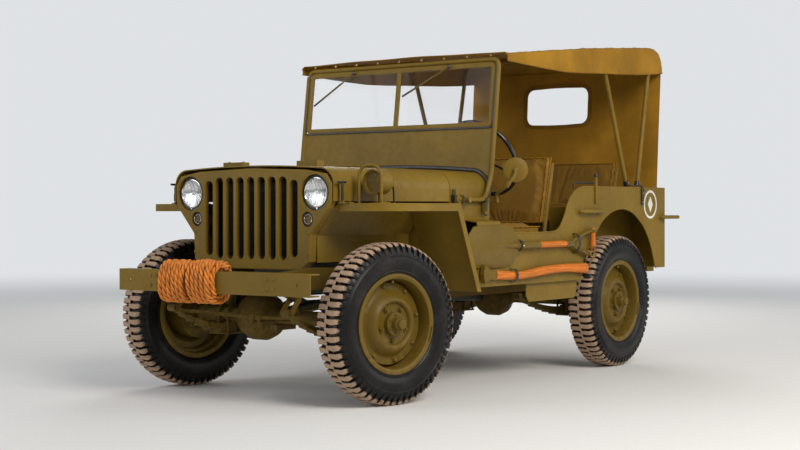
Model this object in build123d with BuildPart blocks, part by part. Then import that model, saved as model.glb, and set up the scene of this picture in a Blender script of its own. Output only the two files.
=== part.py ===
"""Quarter-ton open 4x4 army car with its canvas top up, in millimetres.

Pieces are drawn in a frame whose +Z is up, whose +X is the car's left, the driver's side,
and whose y is the station: the distance behind the front axle. save() carries each piece
to the car's own frame, whose origin is on the ground under the middle of the car.
An outline from the side is in (station, height) and one from the front in (x, height).
"""

import os
from math import cos, hypot, pi, radians, sin

from build123d import *

os.makedirs("parts", exist_ok=True)

# Driving dimensions.
LENGTH = 3360.0
WHEELBASE = 2032.0
TRACK = 1245.0
FRONT_OVERHANG = 495.0
FRONT_AXLE_Y = FRONT_OVERHANG - LENGTH / 2
SHEET = 5.0
SEAM = 5.0

# Frame: the rails' middle line as station and height, and the tubes across.
RAIL_LINE = [
    (-426, 540), (-200, 556), (250, 545), (560, 470), (1590, 470), (1850, 560), (2500, 568),
]
RAIL_HALF = 371.5
RAIL_W = 45.0
RAIL_H = 95.0
RAIL_NOSE = (-490.0, -415.0)
MEMBERS = [-330, 1040, 1300, 1560, 2440]
MEMBER_R = 30.0

# Front bumper and the two groups of the rope's turns on it, from right to left edge.
BUMPER_HALF = 572.0
BUMPER_LOW = 491.0
BUMPER_HIGH = 589.0
BUMPER_DEPTH = 62.0
BUMPER_HOLES = (-500.0, 500.0)
BUMPER_HOLE_R = 7.0
ROPE_GROUPS = ((-303.0, -115.0), (-111.0, 47.0))
ROPE_THICK = 50.0

# Grille: half its outline as (x, height), its slots and its lamps.
GRILLE_FRONT = -229.0
GRILLE_DEPTH = 40.0
GRILLE_HALF = [
    (300, 591), (325, 612), (351, 629), (357, 750), (455, 865), (471, 900), (471, 975),
    (440, 1018), (320, 1037), (0, 1048),
]
SLOTS = 9
SLOT_PITCH = 64.2
SLOT_WIDTH = 48.0
SLOT_LIP = 3.0
SLOT_LIP_DEPTH = 20.0
SLOT_ENDS = (634.0, 1009.0)
END_SLOT_ENDS = (647.0, 994.0)
HEADLAMP = (377.0, 936.0)
HEADLAMP_R = 80.0
MARKER = (335.0, 817.0)
MARKER_R = 34.0
DRIVE_LAMP = (600.0, -84.0, 982.0)
TAIL_LAMP = (560.0, 760.0)

# Fenders and hood.
FENDER_HALF = 760.0
FENDER_INNER = 474.0
FENDER_FRONT = -182.0
FENDER_REAR = 353.0
FENDER_CORNER = 180.0
FENDER_Z = 888.0
FENDER_LIP = 35.0
FENDER_FOOT = (524.0, 477.0)
HOOD_FRONT = -222.0
HOOD_REAR = 515.0
# Half width, lower edge, height at the shoulder, crown and shoulder radius of each end.
HOOD_NOSE = (482.0, 897.0, 1047.0, 1061.0, 75.0)
HOOD_TAIL = (588.0, 898.0, 1044.0, 1066.0, 90.0)
HOOD_PIN = (517.5, 1074.0)
HOOD_PIN_R = 4.0
KNUCKLE_R = 7.0
REST_BLOCK_X = 226.0

# Body tub.
BODY_HALF = 705.0
BODY_FRONT = 575.0
BODY_REAR = 2540.0
BODY_TOP_Z = 980.0
STEP_Z = 493.0
SILL_Z = 400.0
SILL_SET_BACK = 22.0
FLARE_REAR = 775.0
FLARE_TOP_Z = 826.0
FLARE_LOW_Z = 800.0
DOOR_SILL_Z = 745.0
FLOOR_Z = 525.0
REAR_FLOOR_Z = 622.0
REAR_FLOOR = 1590.0
BOX_HALF = 500.0
BOX_TOP_Z = 868.0

# Cowl, windshield and mirror.
COWL_HALF = 588.0
COWL_REAR = 860.0
WINDSHIELD_HALF = 617.0
WINDSHIELD_TUBE = 12.0
WINDSHIELD_FOOT = (850.0, 1029.0)
WINDSHIELD_TOP = (925.0, 1613.0)
WINDSHIELD_SILL_Z = 1262.0
WINDSHIELD_PIVOT = (607.0, 907.0)
MIRROR = (735.0, 866.0, 1052.0)
MIRROR_FOOT = (631.0, 862.0, 905.0)

# Steering: the wheel, the foot of its column, and the pitman arm's shaft.
WHEEL_CENTRE = (355.0, 1146.0, 1123.0)
COLUMN_FOOT = (300.0, 276.0, 630.0)
PITMAN = (383.0, 240.0, 640.0)
COLUMN = (Vector(*WHEEL_CENTRE) - Vector(*COLUMN_FOOT)).normalized()
STEERING_WHEEL_R = 209.0

# The steering arms' length, their height, and how far each pin stands off the arm's line.
ARM = 120.0
ARM_Z = 350.0
SIDE_ARM = 160.0
PIN_OFFSET = 24.0
CRANK = (60.0, -118.0)

# Wheels, tyres and axles.
TYRE_R = 358.0
RIM_R = 221.0
AXLE_Z = TYRE_R
KINGPIN_X = 505.0
STEER_AT_REST = -11.0
WHEEL_X = TRACK / 2
WHEELS = {
    "front_left": (1, 0.0, STEER_AT_REST),
    "front_right": (-1, 0.0, STEER_AT_REST),
    "rear_left": (1, WHEELBASE, None),
    "rear_right": (-1, WHEELBASE, None),
}
AXLE_TUBE_R = 34.0
DIFFERENTIAL_X = -135.0
DIFFERENTIAL_R = 112.0
BALL_R = 44.0

# Outward distance and radius round the rim, disc, hub and drum.
RIM_PROFILE = [
    (20, 0), (92, 0), (92, 22), (84, 28), (60, 28), (60, 52), (42, 52), (40, 92),
    (22, 118), (38, 150), (38, 168), (30, 176), (30, 197), (64, 197), (64, RIM_R),
    (59, RIM_R), (59, 203), (-59, 203), (-59, RIM_R), (-64, RIM_R), (-64, 197),
    (24, 197), (24, 176), (32, 165), (32, 152), (14, 120), (-12, 122), (-56, 122),
    (-56, 19), (20, 19),
]

# Outward distance and radius round the tyre, out to the lugs' tips.
TYRE_PROFILE = [
    (-58.5, 203.5), (58.5, 203.5), (58.5, 223), (67, 227), (78, 252), (80, 285), (77, 318),
    (72, 338), (60, 354), (48, TYRE_R), (-48, TYRE_R), (-60, 354), (-72, 338), (-77, 318),
    (-80, 285), (-78, 252), (-67, 227), (-58.5, 223),
]

# Springs: axle, reach ahead and behind, height of each end, and the end with the shackle.
SPRINGS = [
    (0.0, 378.0, 470.0, 400.0, 405.0, -1),
    (WHEELBASE, 520.0, 430.0, 385.0, 430.0, 1),
]
SPRING_X = 343.0
SPRING_HALF = 22.0
LEAF = 7.0
LEAVES = 6
LEAF_STEP = 0.14
SPRING_LOW_Z = 309.0

# Seats: right edge, left edge, cushion front, cushion rear, cushion base, back top.
SEATS = {
    "driver": (170, 600, 900, 1310, 715, 1130),
    "passenger": (-572, -160, 900, 1310, 715, 1130),
    "rear": (-440, 440, 1980, 2330, 800, 1130),
}
SEAT_TUBE = 12.0
SEAT_LEG = 40.0
# The pin that the passenger's seat tips on: station and height.
SEAT_PIN = (940.0, 550.0)
SEAT_PIN_R = 5.0

# Canvas top: half width, cloth, roof line, edge of the side valance, and the two bows.
TOP_HALF = 655.0
CLOTH = 6.0
ROOF_LINE = [
    (925, 1628), (1750, 1722), (2440, 1784), (2562, 1768), (2604, 1695), (2604, 1606),
    (2552, 955),
]
VALANCE_Z = 1606.0
REAR_WINDOW = (-250.0, 176.0, 1370.0, 1600.0)
BOW_HALF = 634.0
BOW_R = 12.0
# Station of each bow's foot and head, and the head's height.
BOWS = ((2240, 1915, 1700), (2310, 2490, 1750))

# Shovel and axe on the driver's side: outlines as (station, height).
SHOVEL_Z = 685.0
SHOVEL_NECK = 895.0
BLADE = [
    (446, 681), (472, 620), (530, 586), (788, 576), (862, 590), (893, 640), (896, 668),
    (896, 702), (893, 728), (862, 774), (788, 787), (530, 780), (472, 744),
]
BLADE_BEND_R = 260.0
GRIP_SPLIT = 1415.0
GRIP_BAR = 1645.0
GRIP_HALF = 62.0
AXE_HANDLE = [
    (702, 573), (921, 560), (1127, 576), (1368, 584), (1532, 581), (1571, 584), (1578, 555),
    (1551, 520), (1500, 533), (1368, 539), (1128, 532), (921, 519), (691, 527),
]
AXE_HEAD = [
    (590, 512), (640, 530), (687, 524), (698, 576), (640, 572), (590, 600), (578, 556),
]

# Spare wheel, bumperettes, tow hook and can.
SPARE = (-180.0, BODY_REAR + 235.0, 800.0)
CAN_X = (270.0, 450.0)
CAN_Z = (607.0, 1040.0)
BUMPERETTE_X = 500.0

LABELS = []


def save(part, label):
    """Names a finished piece, carries it to the car's frame and writes its own file."""
    placed = Pos(0, FRONT_AXLE_Y, 0) * part
    placed.label = label
    export_step(placed, f"parts/{label}.step")
    LABELS.append(label)


def span(side, inner, outer):
    """The two x of a piece on one side, in rising order."""
    return (inner, outer) if side > 0 else (-outer, -inner)


def block(x, y, z, mode=Mode.ADD):
    """A box between two x, two stations and two heights."""
    middle = ((x[0] + x[1]) / 2, (y[0] + y[1]) / 2, (z[0] + z[1]) / 2)
    with Locations(middle):
        Box(x[1] - x[0], y[1] - y[0], z[1] - z[0], mode=mode)


def rod(start, end, radius, mode=Mode.ADD):
    """A round bar from one point to another."""
    run = Vector(*end) - Vector(*start)
    with Locations(Plane(origin=start, z_dir=run)):
        Cylinder(radius, run.length, align=(Align.CENTER, Align.CENTER, Align.MIN), mode=mode)


def side_slab(points, x, mode=Mode.ADD):
    """An outline in (station, height) carried between two x."""
    with BuildSketch(Plane.YZ.offset(x[0])) as outline:
        with BuildLine():
            Polyline(*points, close=True)
        make_face()
    extrude(outline.sketch, amount=x[1] - x[0], mode=mode)


def front_slab(points, y, mode=Mode.ADD):
    """An outline in (x, height) carried between two stations."""
    with BuildSketch(Plane.XZ.offset(-y[1])) as outline:
        with BuildLine():
            Polyline(*points, close=True)
        make_face()
    extrude(outline.sketch, amount=y[1] - y[0], mode=mode)


def side_band(points, x, width, radius=0.0, mode=Mode.ADD):
    """A sheet whose middle line runs through (station, height), carried between two x."""
    with BuildSketch(Plane.YZ.offset(x[0])) as outline:
        with BuildLine():
            if radius:
                FilletPolyline(*points, radius=radius)
            else:
                Polyline(*points)
        trace(line_width=width)
    extrude(outline.sketch, amount=x[1] - x[0], mode=mode)


def front_band(points, y, width, radius=0.0, mode=Mode.ADD):
    """A sheet whose middle line runs through (x, height), carried between two stations."""
    with BuildSketch(Plane.XZ.offset(-y[1])) as outline:
        with BuildLine():
            if radius:
                FilletPolyline(*points, radius=radius)
            else:
                Polyline(*points)
        trace(line_width=width)
    extrude(outline.sketch, amount=y[1] - y[0], mode=mode)


def pipe(points, radius, bend=0.0):
    """A round tube along straight runs joined by arcs."""
    with BuildLine() as path:
        if bend:
            FilletPolyline(*points, radius=bend)
        else:
            Polyline(*points)
    line = path.line
    with BuildSketch(Plane(origin=line @ 0, z_dir=line % 0)) as section:
        Circle(radius)
    sweep(section.sketch, path=line)


def arch(y, half, base, side_z, crown_z, shoulder):
    """The hood's cross-section face: upright sides, round shoulders and a crowned top."""
    corner = shoulder * (1 - cos(pi / 4))
    with BuildSketch(Plane.XZ.offset(-y)) as section:
        with BuildLine():
            for side in (-1, 1):
                Line((side * half, base), (side * half, side_z - shoulder))
                ThreePointArc(
                    (side * half, side_z - shoulder),
                    (side * (half - corner), side_z - corner),
                    (side * (half - shoulder), side_z),
                )
            ThreePointArc((-half + shoulder, side_z), (0, crown_z), (half - shoulder, side_z))
            Line((half, base), (-half, base))
        make_face()
    return section.sketch


def shell(front, rear, nose, tail, mode_outer=Mode.ADD):
    """A sheet lofted between two arches that are open below: half, base, side, crown, shoulder."""
    for inset, mode in ((0.0, mode_outer), (SHEET, Mode.SUBTRACT)):
        reach = 1.0 if inset else 0.0
        ends = []
        for y, (half, base, side_z, crown_z, shoulder) in ((front - reach, nose), (rear + reach, tail)):
            low = base - 10 * reach
            ends.append(arch(y, half - inset, low, side_z - inset, crown_z - inset, shoulder))
        loft(ends, mode=mode)


def ring(centre, out, profile):
    """A profile of (outward, radius) points turned about an axle.

    A point with a third value is the middle of an arc between its neighbours.
    """
    centre, out = Vector(*centre), Vector(*out)
    away = Vector(0, 0, 1) if abs(out.Z) < 0.9 else Vector(0, 1, 0)
    plane = Plane(origin=centre, x_dir=out, z_dir=out.cross(away))
    corners = list(profile) + [profile[0]]
    with BuildSketch(plane) as section:
        with BuildLine():
            for index, start in enumerate(corners[:-1]):
                if len(start) == 3:
                    continue
                after = corners[index + 1]
                if len(after) == 3:
                    ThreePointArc(start, after[:2], corners[index + 2])
                else:
                    Line(start, after)
        make_face()
    revolve(section.sketch, axis=Axis(tuple(centre), tuple(out)))


def height_on(line, station):
    """The height of a line of (station, height) points at one station."""
    for (s0, z0), (s1, z1) in zip(line, line[1:]):
        if s0 <= station <= s1:
            return z0 + (z1 - z0) * (station - s0) / (s1 - s0)
    return line[-1][1]


def chassis_frame():
    """Two channel rails that rise over the axles, and the tubes across them."""
    inner = RAIL_HALF - RAIL_W
    web = RAIL_HALF - SHEET
    with BuildPart() as frame:
        for side in (-1, 1):
            x = span(side, inner, RAIL_HALF)
            side_band(RAIL_LINE, x, RAIL_H)
            # The rail is a channel, open to the inside.
            side_band(RAIL_LINE, span(side, inner, web), RAIL_H - 2 * SHEET, mode=Mode.SUBTRACT)
            # Its nose runs into the bumper.
            block(x, RAIL_NOSE, (498, 582))
    save(frame.part, "chassis_frame")
    with BuildPart() as crossings:
        for station in MEMBERS:
            z = height_on(RAIL_LINE, station)
            rod((-web, station, z), (web, station, z), MEMBER_R)
    save(crossings.part, "cross_members")


def front_bumper():
    """A pressed channel across the nose, open to the rear, with two holes in its face."""
    front, rear = -FRONT_OVERHANG, -FRONT_OVERHANG + BUMPER_DEPTH
    middle = (BUMPER_LOW + BUMPER_HIGH) / 2
    with BuildPart() as bumper:
        block((-BUMPER_HALF, BUMPER_HALF), (front, rear), (BUMPER_LOW, BUMPER_HIGH))
        block(
            (-BUMPER_HALF - 1, BUMPER_HALF + 1),
            (front + SHEET, rear + SHEET),
            (BUMPER_LOW + SHEET, BUMPER_HIGH - SHEET),
            mode=Mode.SUBTRACT,
        )
        for x in BUMPER_HOLES:
            hole = ((x, front - 1, middle), (x, front + SHEET + 1, middle))
            rod(*hole, BUMPER_HOLE_R, mode=Mode.SUBTRACT)
    save(bumper.part, "front_bumper")


def rope():
    """The rope wound round the bumper in two groups of turns, as its outer shape."""
    front, rear = -FRONT_OVERHANG, -FRONT_OVERHANG + BUMPER_DEPTH
    tall = BUMPER_HIGH - BUMPER_LOW
    middle = ((front + rear) / 2, (BUMPER_LOW + BUMPER_HIGH) / 2)
    with BuildPart() as coil:
        for x0, x1 in ROPE_GROUPS:
            with BuildSketch(Plane.YZ.offset(x0)) as turn:
                with Locations(middle):
                    RectangleRounded(BUMPER_DEPTH + 2 * ROPE_THICK, tall + 2 * ROPE_THICK, 45)
                    Rectangle(BUMPER_DEPTH, tall, mode=Mode.SUBTRACT)
            extrude(turn.sketch, amount=x1 - x0)
        # One turn crosses from the first group to the second over the top.
        gap = (ROPE_GROUPS[0][1] - 20, ROPE_GROUPS[1][0] + 20)
        block(gap, (front, rear), (BUMPER_HIGH, BUMPER_HIGH + ROPE_THICK - 6))
    save(coil.part, "bumper_rope")


def slot_at(number, width, y, depth, mode):
    """One upright slot's outline, carried rearwards from a station."""
    low, high = END_SLOT_ENDS if abs(number) == SLOTS // 2 else SLOT_ENDS
    more = width - SLOT_WIDTH
    with BuildSketch(Plane.XZ.offset(-y - depth)) as slot:
        with Locations((number * SLOT_PITCH, (low + high) / 2)):
            SlotOverall(high - low + more, width, rotation=90)
    extrude(slot.sketch, amount=depth, mode=mode)


def grille():
    """The stamping: nine slots with turned-in lips, four lamp openings and a side flange."""
    outline = [(-x, z) for x, z in GRILLE_HALF[:-1]] + GRILLE_HALF[::-1]
    rear = GRILLE_FRONT + GRILLE_DEPTH
    openings = ((*HEADLAMP, HEADLAMP_R), (*MARKER, MARKER_R))
    with BuildPart() as stamping:
        front_slab(outline, (GRILLE_FRONT, rear))
        front_edge = stamping.faces().sort_by(Axis.Y)[0].edges()
        chamfer(front_edge, SHEET)
        with BuildSketch(Plane.XZ.offset(-rear)) as inside:
            with BuildLine():
                Polyline(*outline, close=True)
            make_face()
            offset(amount=-SHEET - 1, kind=Kind.INTERSECTION)
        extrude(inside.sketch, amount=GRILLE_DEPTH - SHEET, mode=Mode.SUBTRACT)
        numbers = range(-(SLOTS // 2), SLOTS // 2 + 1)
        for number in numbers:
            slot_at(number, SLOT_WIDTH + 2 * SLOT_LIP, GRILLE_FRONT + 2, SLOT_LIP_DEPTH, Mode.ADD)
        for side in (-1, 1):
            for x, z, radius in openings:
                lip = (GRILLE_FRONT + 2, GRILLE_FRONT + 16)
                rod((side * x, lip[0], z), (side * x, lip[1], z), radius + SLOT_LIP)
        for number in numbers:
            slot_at(number, SLOT_WIDTH, GRILLE_FRONT - 1, GRILLE_DEPTH, Mode.SUBTRACT)
        for side in (-1, 1):
            for x, z, radius in openings:
                hole = ((side * x, GRILLE_FRONT - 1, z), (side * x, rear, z))
                rod(*hole, radius, mode=Mode.SUBTRACT)
    save(stamping.part, "grille")


def lamps():
    """Headlamps, marker lamps, the hooped drive lamp and tail lamps, with their lenses."""
    head_x, head_z = HEADLAMP
    mark_x, mark_z = MARKER
    tail_x, tail_z = TAIL_LAMP
    # Distance behind the grille's face and radius round the headlamp's bowl.
    bowl = [(26, 0), (26, 66), (15, 66), (15, 76), (45, 76), (80, 62), (104, 40), (115, 0)]
    drum = [(0, 0), (0, 52), (6, 55), (60, 55), (80, 45), (92, 26), (96, 0)]
    with BuildPart() as housings:
        for side in (-1, 1):
            ring((side * head_x, GRILLE_FRONT, head_z), (0, 1, 0), bowl)
            start = (side * mark_x, GRILLE_FRONT + 14, mark_z)
            rod(start, (side * mark_x, GRILLE_FRONT + 70, mark_z), 30)
            rod((side * tail_x, BODY_REAR, tail_z), (side * tail_x, BODY_REAR + 45, tail_z), 34)
            # A foot holds each headlamp up above the fender's apron.
            x = span(side, head_x - 12, head_x + 12)
            block(x, (GRILLE_FRONT + 48, GRILLE_FRONT + 70), (head_z - 100, head_z - 60))
        x, y, z = DRIVE_LAMP
        ring(DRIVE_LAMP, (0, 1, 0), drum)
        rod((x, y + 45, FENDER_Z + 2), (x, y + 45, z - 40), 12)
        block((x - 30, x + 30), (y + 15, y + 75), (FENDER_Z, FENDER_Z + 5))
        # The visor over the lens, and the hoop in front of it.
        ring((x, y, z), (0, 1, 0), [(-16, 50), (-16, 55), (1, 55), (1, 50)])
        hoop = [(x - 62, FENDER_Z), (x - 62, z + 72), (x + 62, z + 72), (x + 62, FENDER_Z)]
        pipe([(px, y - 34, pz) for px, pz in hoop], 7, 52)
    save(housings.part, "lamp_housings")
    with BuildPart() as lenses:
        for side in (-1, 1):
            x = side * head_x
            rod((x, GRILLE_FRONT + 14, head_z), (x, GRILLE_FRONT + 25, head_z), 65.5)
            x = side * mark_x
            rod((x, GRILLE_FRONT + 8, mark_z), (x, GRILLE_FRONT + 14, mark_z), 26)
        x, y, z = DRIVE_LAMP
        rod((x, y - 6, z), (x, y, z), 46)
    save(lenses.part, "lamp_lenses")


def radiator():
    """The core with its top and bottom tanks, behind the grille."""
    with BuildPart() as core:
        block((-240, 240), (-145, -100), (650, 940))
        for z in ((600, 650), (940, 985)):
            block((-236, 236), (-150, -95), z)
    save(core.part, "radiator")


def powertrain():
    """Engine, gearbox and transfer case as one mass, with its shafts, exhaust and muffler."""
    case = (-165, 410)
    with BuildPart() as mass:
        block((-130, 130), (-60, 430), (470, 880))
        block((-95, 95), (430, 760), (410, 518))
        block((-230, 100), (760, 1000), (330, 515))
        rod((case[0], 115, AXLE_Z), (case[0], 765, case[1]), 25)
        rod((case[0], 995, case[1]), (case[0], WHEELBASE - 114, AXLE_Z), 25)
        # The exhaust passes under the right rail to a muffler beside it.
        pipe(
            [(-125, 120, 500), (-200, 200, 470), (-262, 480, 385), (-270, 850, 380),
             (-430, 960, 400), (-470, 1010, 425)],
            20, 50,
        )
        ring((-470, 1000, 425), (0, 1, 0), [(0, 0), (0, 50), (12, 58), (340, 58), (352, 50), (352, 0)])
        pipe([(-470, 1345, 425), (-470, 1420, 425), (-640, 1520, 425)], 18, 40)
    save(mass.part, "powertrain")


def fender_plan(side, inset, low, high, mode=Mode.ADD):
    """A fender's plan with its round front corner, carried between two heights.

    An inset plan stops short of the outer and front edges and runs past the other two.
    """
    inner = side * (FENDER_INNER - inset)
    outer = side * (FENDER_HALF - inset)
    front, rear = FENDER_FRONT + inset, FENDER_REAR + inset
    radius = FENDER_CORNER - inset
    near = radius * (1 - cos(pi / 4))
    with BuildSketch(Plane.XY.offset(low)) as plan:
        with BuildLine():
            Polyline((outer, front + radius), (outer, rear), (inner, rear), (inner, front),
                     (outer - side * radius, front))
            ThreePointArc(
                (outer - side * radius, front),
                (outer - side * near, front + near),
                (outer, front + radius),
            )
        make_face()
    extrude(plan.sketch, amount=high - low, mode=mode)


def front_fenders():
    """Flat wheel covers with a round corner, turned lip, slanted skirt and sloping apron."""
    foot, foot_z = FENDER_FOOT
    low = FENDER_Z - FENDER_LIP
    skirt = [(FENDER_REAR - 2, FENDER_Z - SHEET / 2), (foot - 2, foot_z)]
    skirt_lip = [
        (FENDER_REAR - 20, low), (FENDER_REAR - 20, FENDER_Z), (FENDER_REAR, FENDER_Z),
        (foot, foot_z), (foot - 30, foot_z),
    ]
    apron = [(478, 883), (452, 866), (357, 745), (357, 625)]
    with BuildPart() as fenders:
        for side in (-1, 1):
            fender_plan(side, 0.0, low, FENDER_Z)
            fender_plan(side, SHEET, low - 1, FENDER_Z - SHEET, Mode.SUBTRACT)
            side_band(skirt, span(side, FENDER_INNER, FENDER_HALF), SHEET)
            side_slab(skirt_lip, span(side, FENDER_HALF - SHEET, FENDER_HALF))
            rows = [(side * x, z) for x, z in apron]
            front_band(rows, (GRILLE_FRONT + GRILLE_DEPTH + 2, 500), SHEET)
            # Three pressed ribs stiffen the apron below the hood.
            for station in (-90, 60, 410):
                rib = [(side * x, z) for x, z in ((350, 660), (350, 740), (357, 740), (357, 660))]
                front_slab(rib, (station - 14, station + 14))
        # The pitman shaft comes through the left apron.
        x, y, z = PITMAN
        rod((340, y, z), (380, y, z), 20, mode=Mode.SUBTRACT)
    save(fenders.part, "front_fenders")


def hood():
    """The engine lid: a crowned shell that widens to the cowl, with blocks and hinge leaves."""
    y, z = HOOD_PIN
    with BuildPart() as lid:
        shell(HOOD_FRONT, HOOD_REAR, HOOD_NOSE, HOOD_TAIL)
        for side in (-1, 1):
            x = span(side, REST_BLOCK_X - 60, REST_BLOCK_X + 60)
            block(x, (-100, -50), (1050, 1082))
            # A hinge leaf with its knuckle round the cowl's pin.
            x = span(side, 24, 76)
            block(x, (y - 34, y), (1062, 1070))
            rod((x[0], y, z), (x[1], y, z), KNUCKLE_R)
            rod((x[0] - 1, y, z), (x[1] + 1, y, z), HOOD_PIN_R + 0.4, mode=Mode.SUBTRACT)
    save(lid.part, "hood")


def cowl():
    """The scuttle between hood and windshield, with firewall, dials and the hood's pin."""
    front = HOOD_REAR + SEAM
    section = (COWL_HALF, DOOR_SILL_Z, *HOOD_TAIL[2:])
    y, z = HOOD_PIN
    with BuildPart() as scuttle:
        shell(front, COWL_REAR, section, section)
        firewall = arch(front + SHEET, COWL_HALF - 2, 560, 1042, 1062, 88)
        extrude(firewall, amount=SHEET)
        panel = arch(COWL_REAR, COWL_HALF - 2, 900, 1042, 1064, 88)
        extrude(panel, amount=SHEET)
        # Dials in the middle of the panel: x, height and radius; then the glove box's lid.
        for x, height, radius in (
            (20, 985, 48), (-58, 1012, 27), (-58, 950, 27), (98, 1012, 27), (98, 950, 27),
        ):
            rod((x, COWL_REAR - 1, height), (x, COWL_REAR + 8, height), radius)
        block((-470, -150), (COWL_REAR - 1, COWL_REAR + 4), (918, 1020))
        rod(COLUMN_FOOT, WHEEL_CENTRE, 20.5, mode=Mode.SUBTRACT)
        # Three knuckles carry the pin that the hood lifts on.
        for x in ((-140, -80), (-20, 20), (80, 140)):
            rod((x[0], y, z), (x[1], y, z), KNUCKLE_R)
            block(x, (y + 3, y + 24), (1058, z))
        rod((-140, y, z), (140, y, z), HOOD_PIN_R)
    save(scuttle.part, "cowl")


def tub():
    """The open body: floor, sides with door cut-outs and wheel arches, wheel boxes and rear."""
    # Station and height round the side panel.
    side_outline = [
        (BODY_FRONT, STEP_Z), (BODY_FRONT, FLARE_LOW_Z), (FLARE_REAR, FLARE_LOW_Z),
        (FLARE_REAR, DOOR_SILL_Z), (1260, DOOR_SILL_Z), (1330, 760), (1392, 825), (1435, 900),
        (1492, 950), (1560, 975), (1646, BODY_TOP_Z), (BODY_REAR, BODY_TOP_Z),
        (BODY_REAR, 528), (2430, 528), (2360, 672), (2273, 770), (2150, 842), (2032, 865),
        (1910, 850), (1800, 802), (1696, 713), (1635, 648), (1582, 555), (1552, STEP_Z),
    ]
    sill_outline = [
        (1075, SILL_Z), (1050, 430), (1050, FLOOR_Z), (1560, FLOOR_Z), (1550, 440), (1530, SILL_Z),
    ]
    flare = [(COWL_HALF + 3, FLARE_TOP_Z), (COWL_HALF + 24, 812), (BODY_HALF - 3, FLARE_LOW_Z)]
    throat = [
        (COWL_HALF + 1, FLARE_TOP_Z), (COWL_HALF + 24, 812), (BODY_HALF - 1, FLARE_LOW_Z),
        (BODY_HALF - 1, DOOR_SILL_Z), (COWL_HALF + 1, DOOR_SILL_Z),
    ]
    toe_board = [
        (BODY_FRONT, 744), (BODY_FRONT, 650), (BODY_FRONT + 150, FLOOR_Z),
        (BODY_FRONT + 158, FLOOR_Z), (BODY_FRONT + 6, 653), (BODY_FRONT + 6, 744),
    ]
    wide = (-BODY_HALF + 1, BODY_HALF - 1)
    with BuildPart() as body:
        for side in (-1, 1):
            side_slab(side_outline, span(side, BODY_HALF - SHEET, BODY_HALF))
            set_back = BODY_HALF - SILL_SET_BACK
            side_slab(sill_outline, span(side, set_back - SHEET, set_back))
            # The side widens from the cowl in a flare that is closed at the door.
            rows = [(side * x, z) for x, z in flare]
            front_band(rows, (BODY_FRONT, FLARE_REAR), SHEET)
            rows = [(side * x, z) for x, z in throat]
            front_slab(rows, (FLARE_REAR - SHEET, FLARE_REAR))
            # The wheel box: a shelf over the tyre with walls inside and ahead of it.
            box = span(side, BOX_HALF, BODY_HALF - 1)
            inner = span(side, BOX_HALF, BOX_HALF + SHEET)
            block(box, (REAR_FLOOR - SHEET, BODY_REAR - 2), (BOX_TOP_Z, BOX_TOP_Z + SHEET))
            block(inner, (REAR_FLOOR - SHEET, BODY_REAR - 2), (FLOOR_Z, BOX_TOP_Z + 2))
            block(box, (REAR_FLOOR - SHEET, REAR_FLOOR), (FLOOR_Z, BOX_TOP_Z + 2))
            # A flange stiffens the top edge, and a grab handle hangs below it.
            edge = span(side, BODY_HALF - 28, BODY_HALF - 1)
            block(edge, (1620, BODY_REAR - 2), (BODY_TOP_Z - SHEET, BODY_TOP_Z))
            x = side * (BODY_HALF - 2)
            out = side * (BODY_HALF + 26)
            pipe([(x, 1530, 850), (out, 1530, 850), (out, 1762, 850), (x, 1762, 850)], 7, 18)
        # Floor in two levels, toe board, rear panel and the tank under the driver.
        block(wide, (BODY_FRONT + 150, REAR_FLOOR), (FLOOR_Z, FLOOR_Z + SHEET))
        half = BOX_HALF + SHEET
        rear_floor = (REAR_FLOOR_Z, REAR_FLOOR_Z + SHEET)
        block((-half, half), (REAR_FLOOR - SHEET, BODY_REAR - 1), rear_floor)
        block((-half, half), (REAR_FLOOR - SHEET, REAR_FLOOR), (FLOOR_Z, REAR_FLOOR_Z + 1))
        rear = (BODY_REAR - SHEET, BODY_REAR)
        block((-BODY_HALF, BODY_HALF), rear, (528, BODY_TOP_Z))
        side_slab(toe_board, wide)
        block((215, 555), (960, 1290), (FLOOR_Z + 2, 645))
    save(body.part, "tub")


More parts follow.
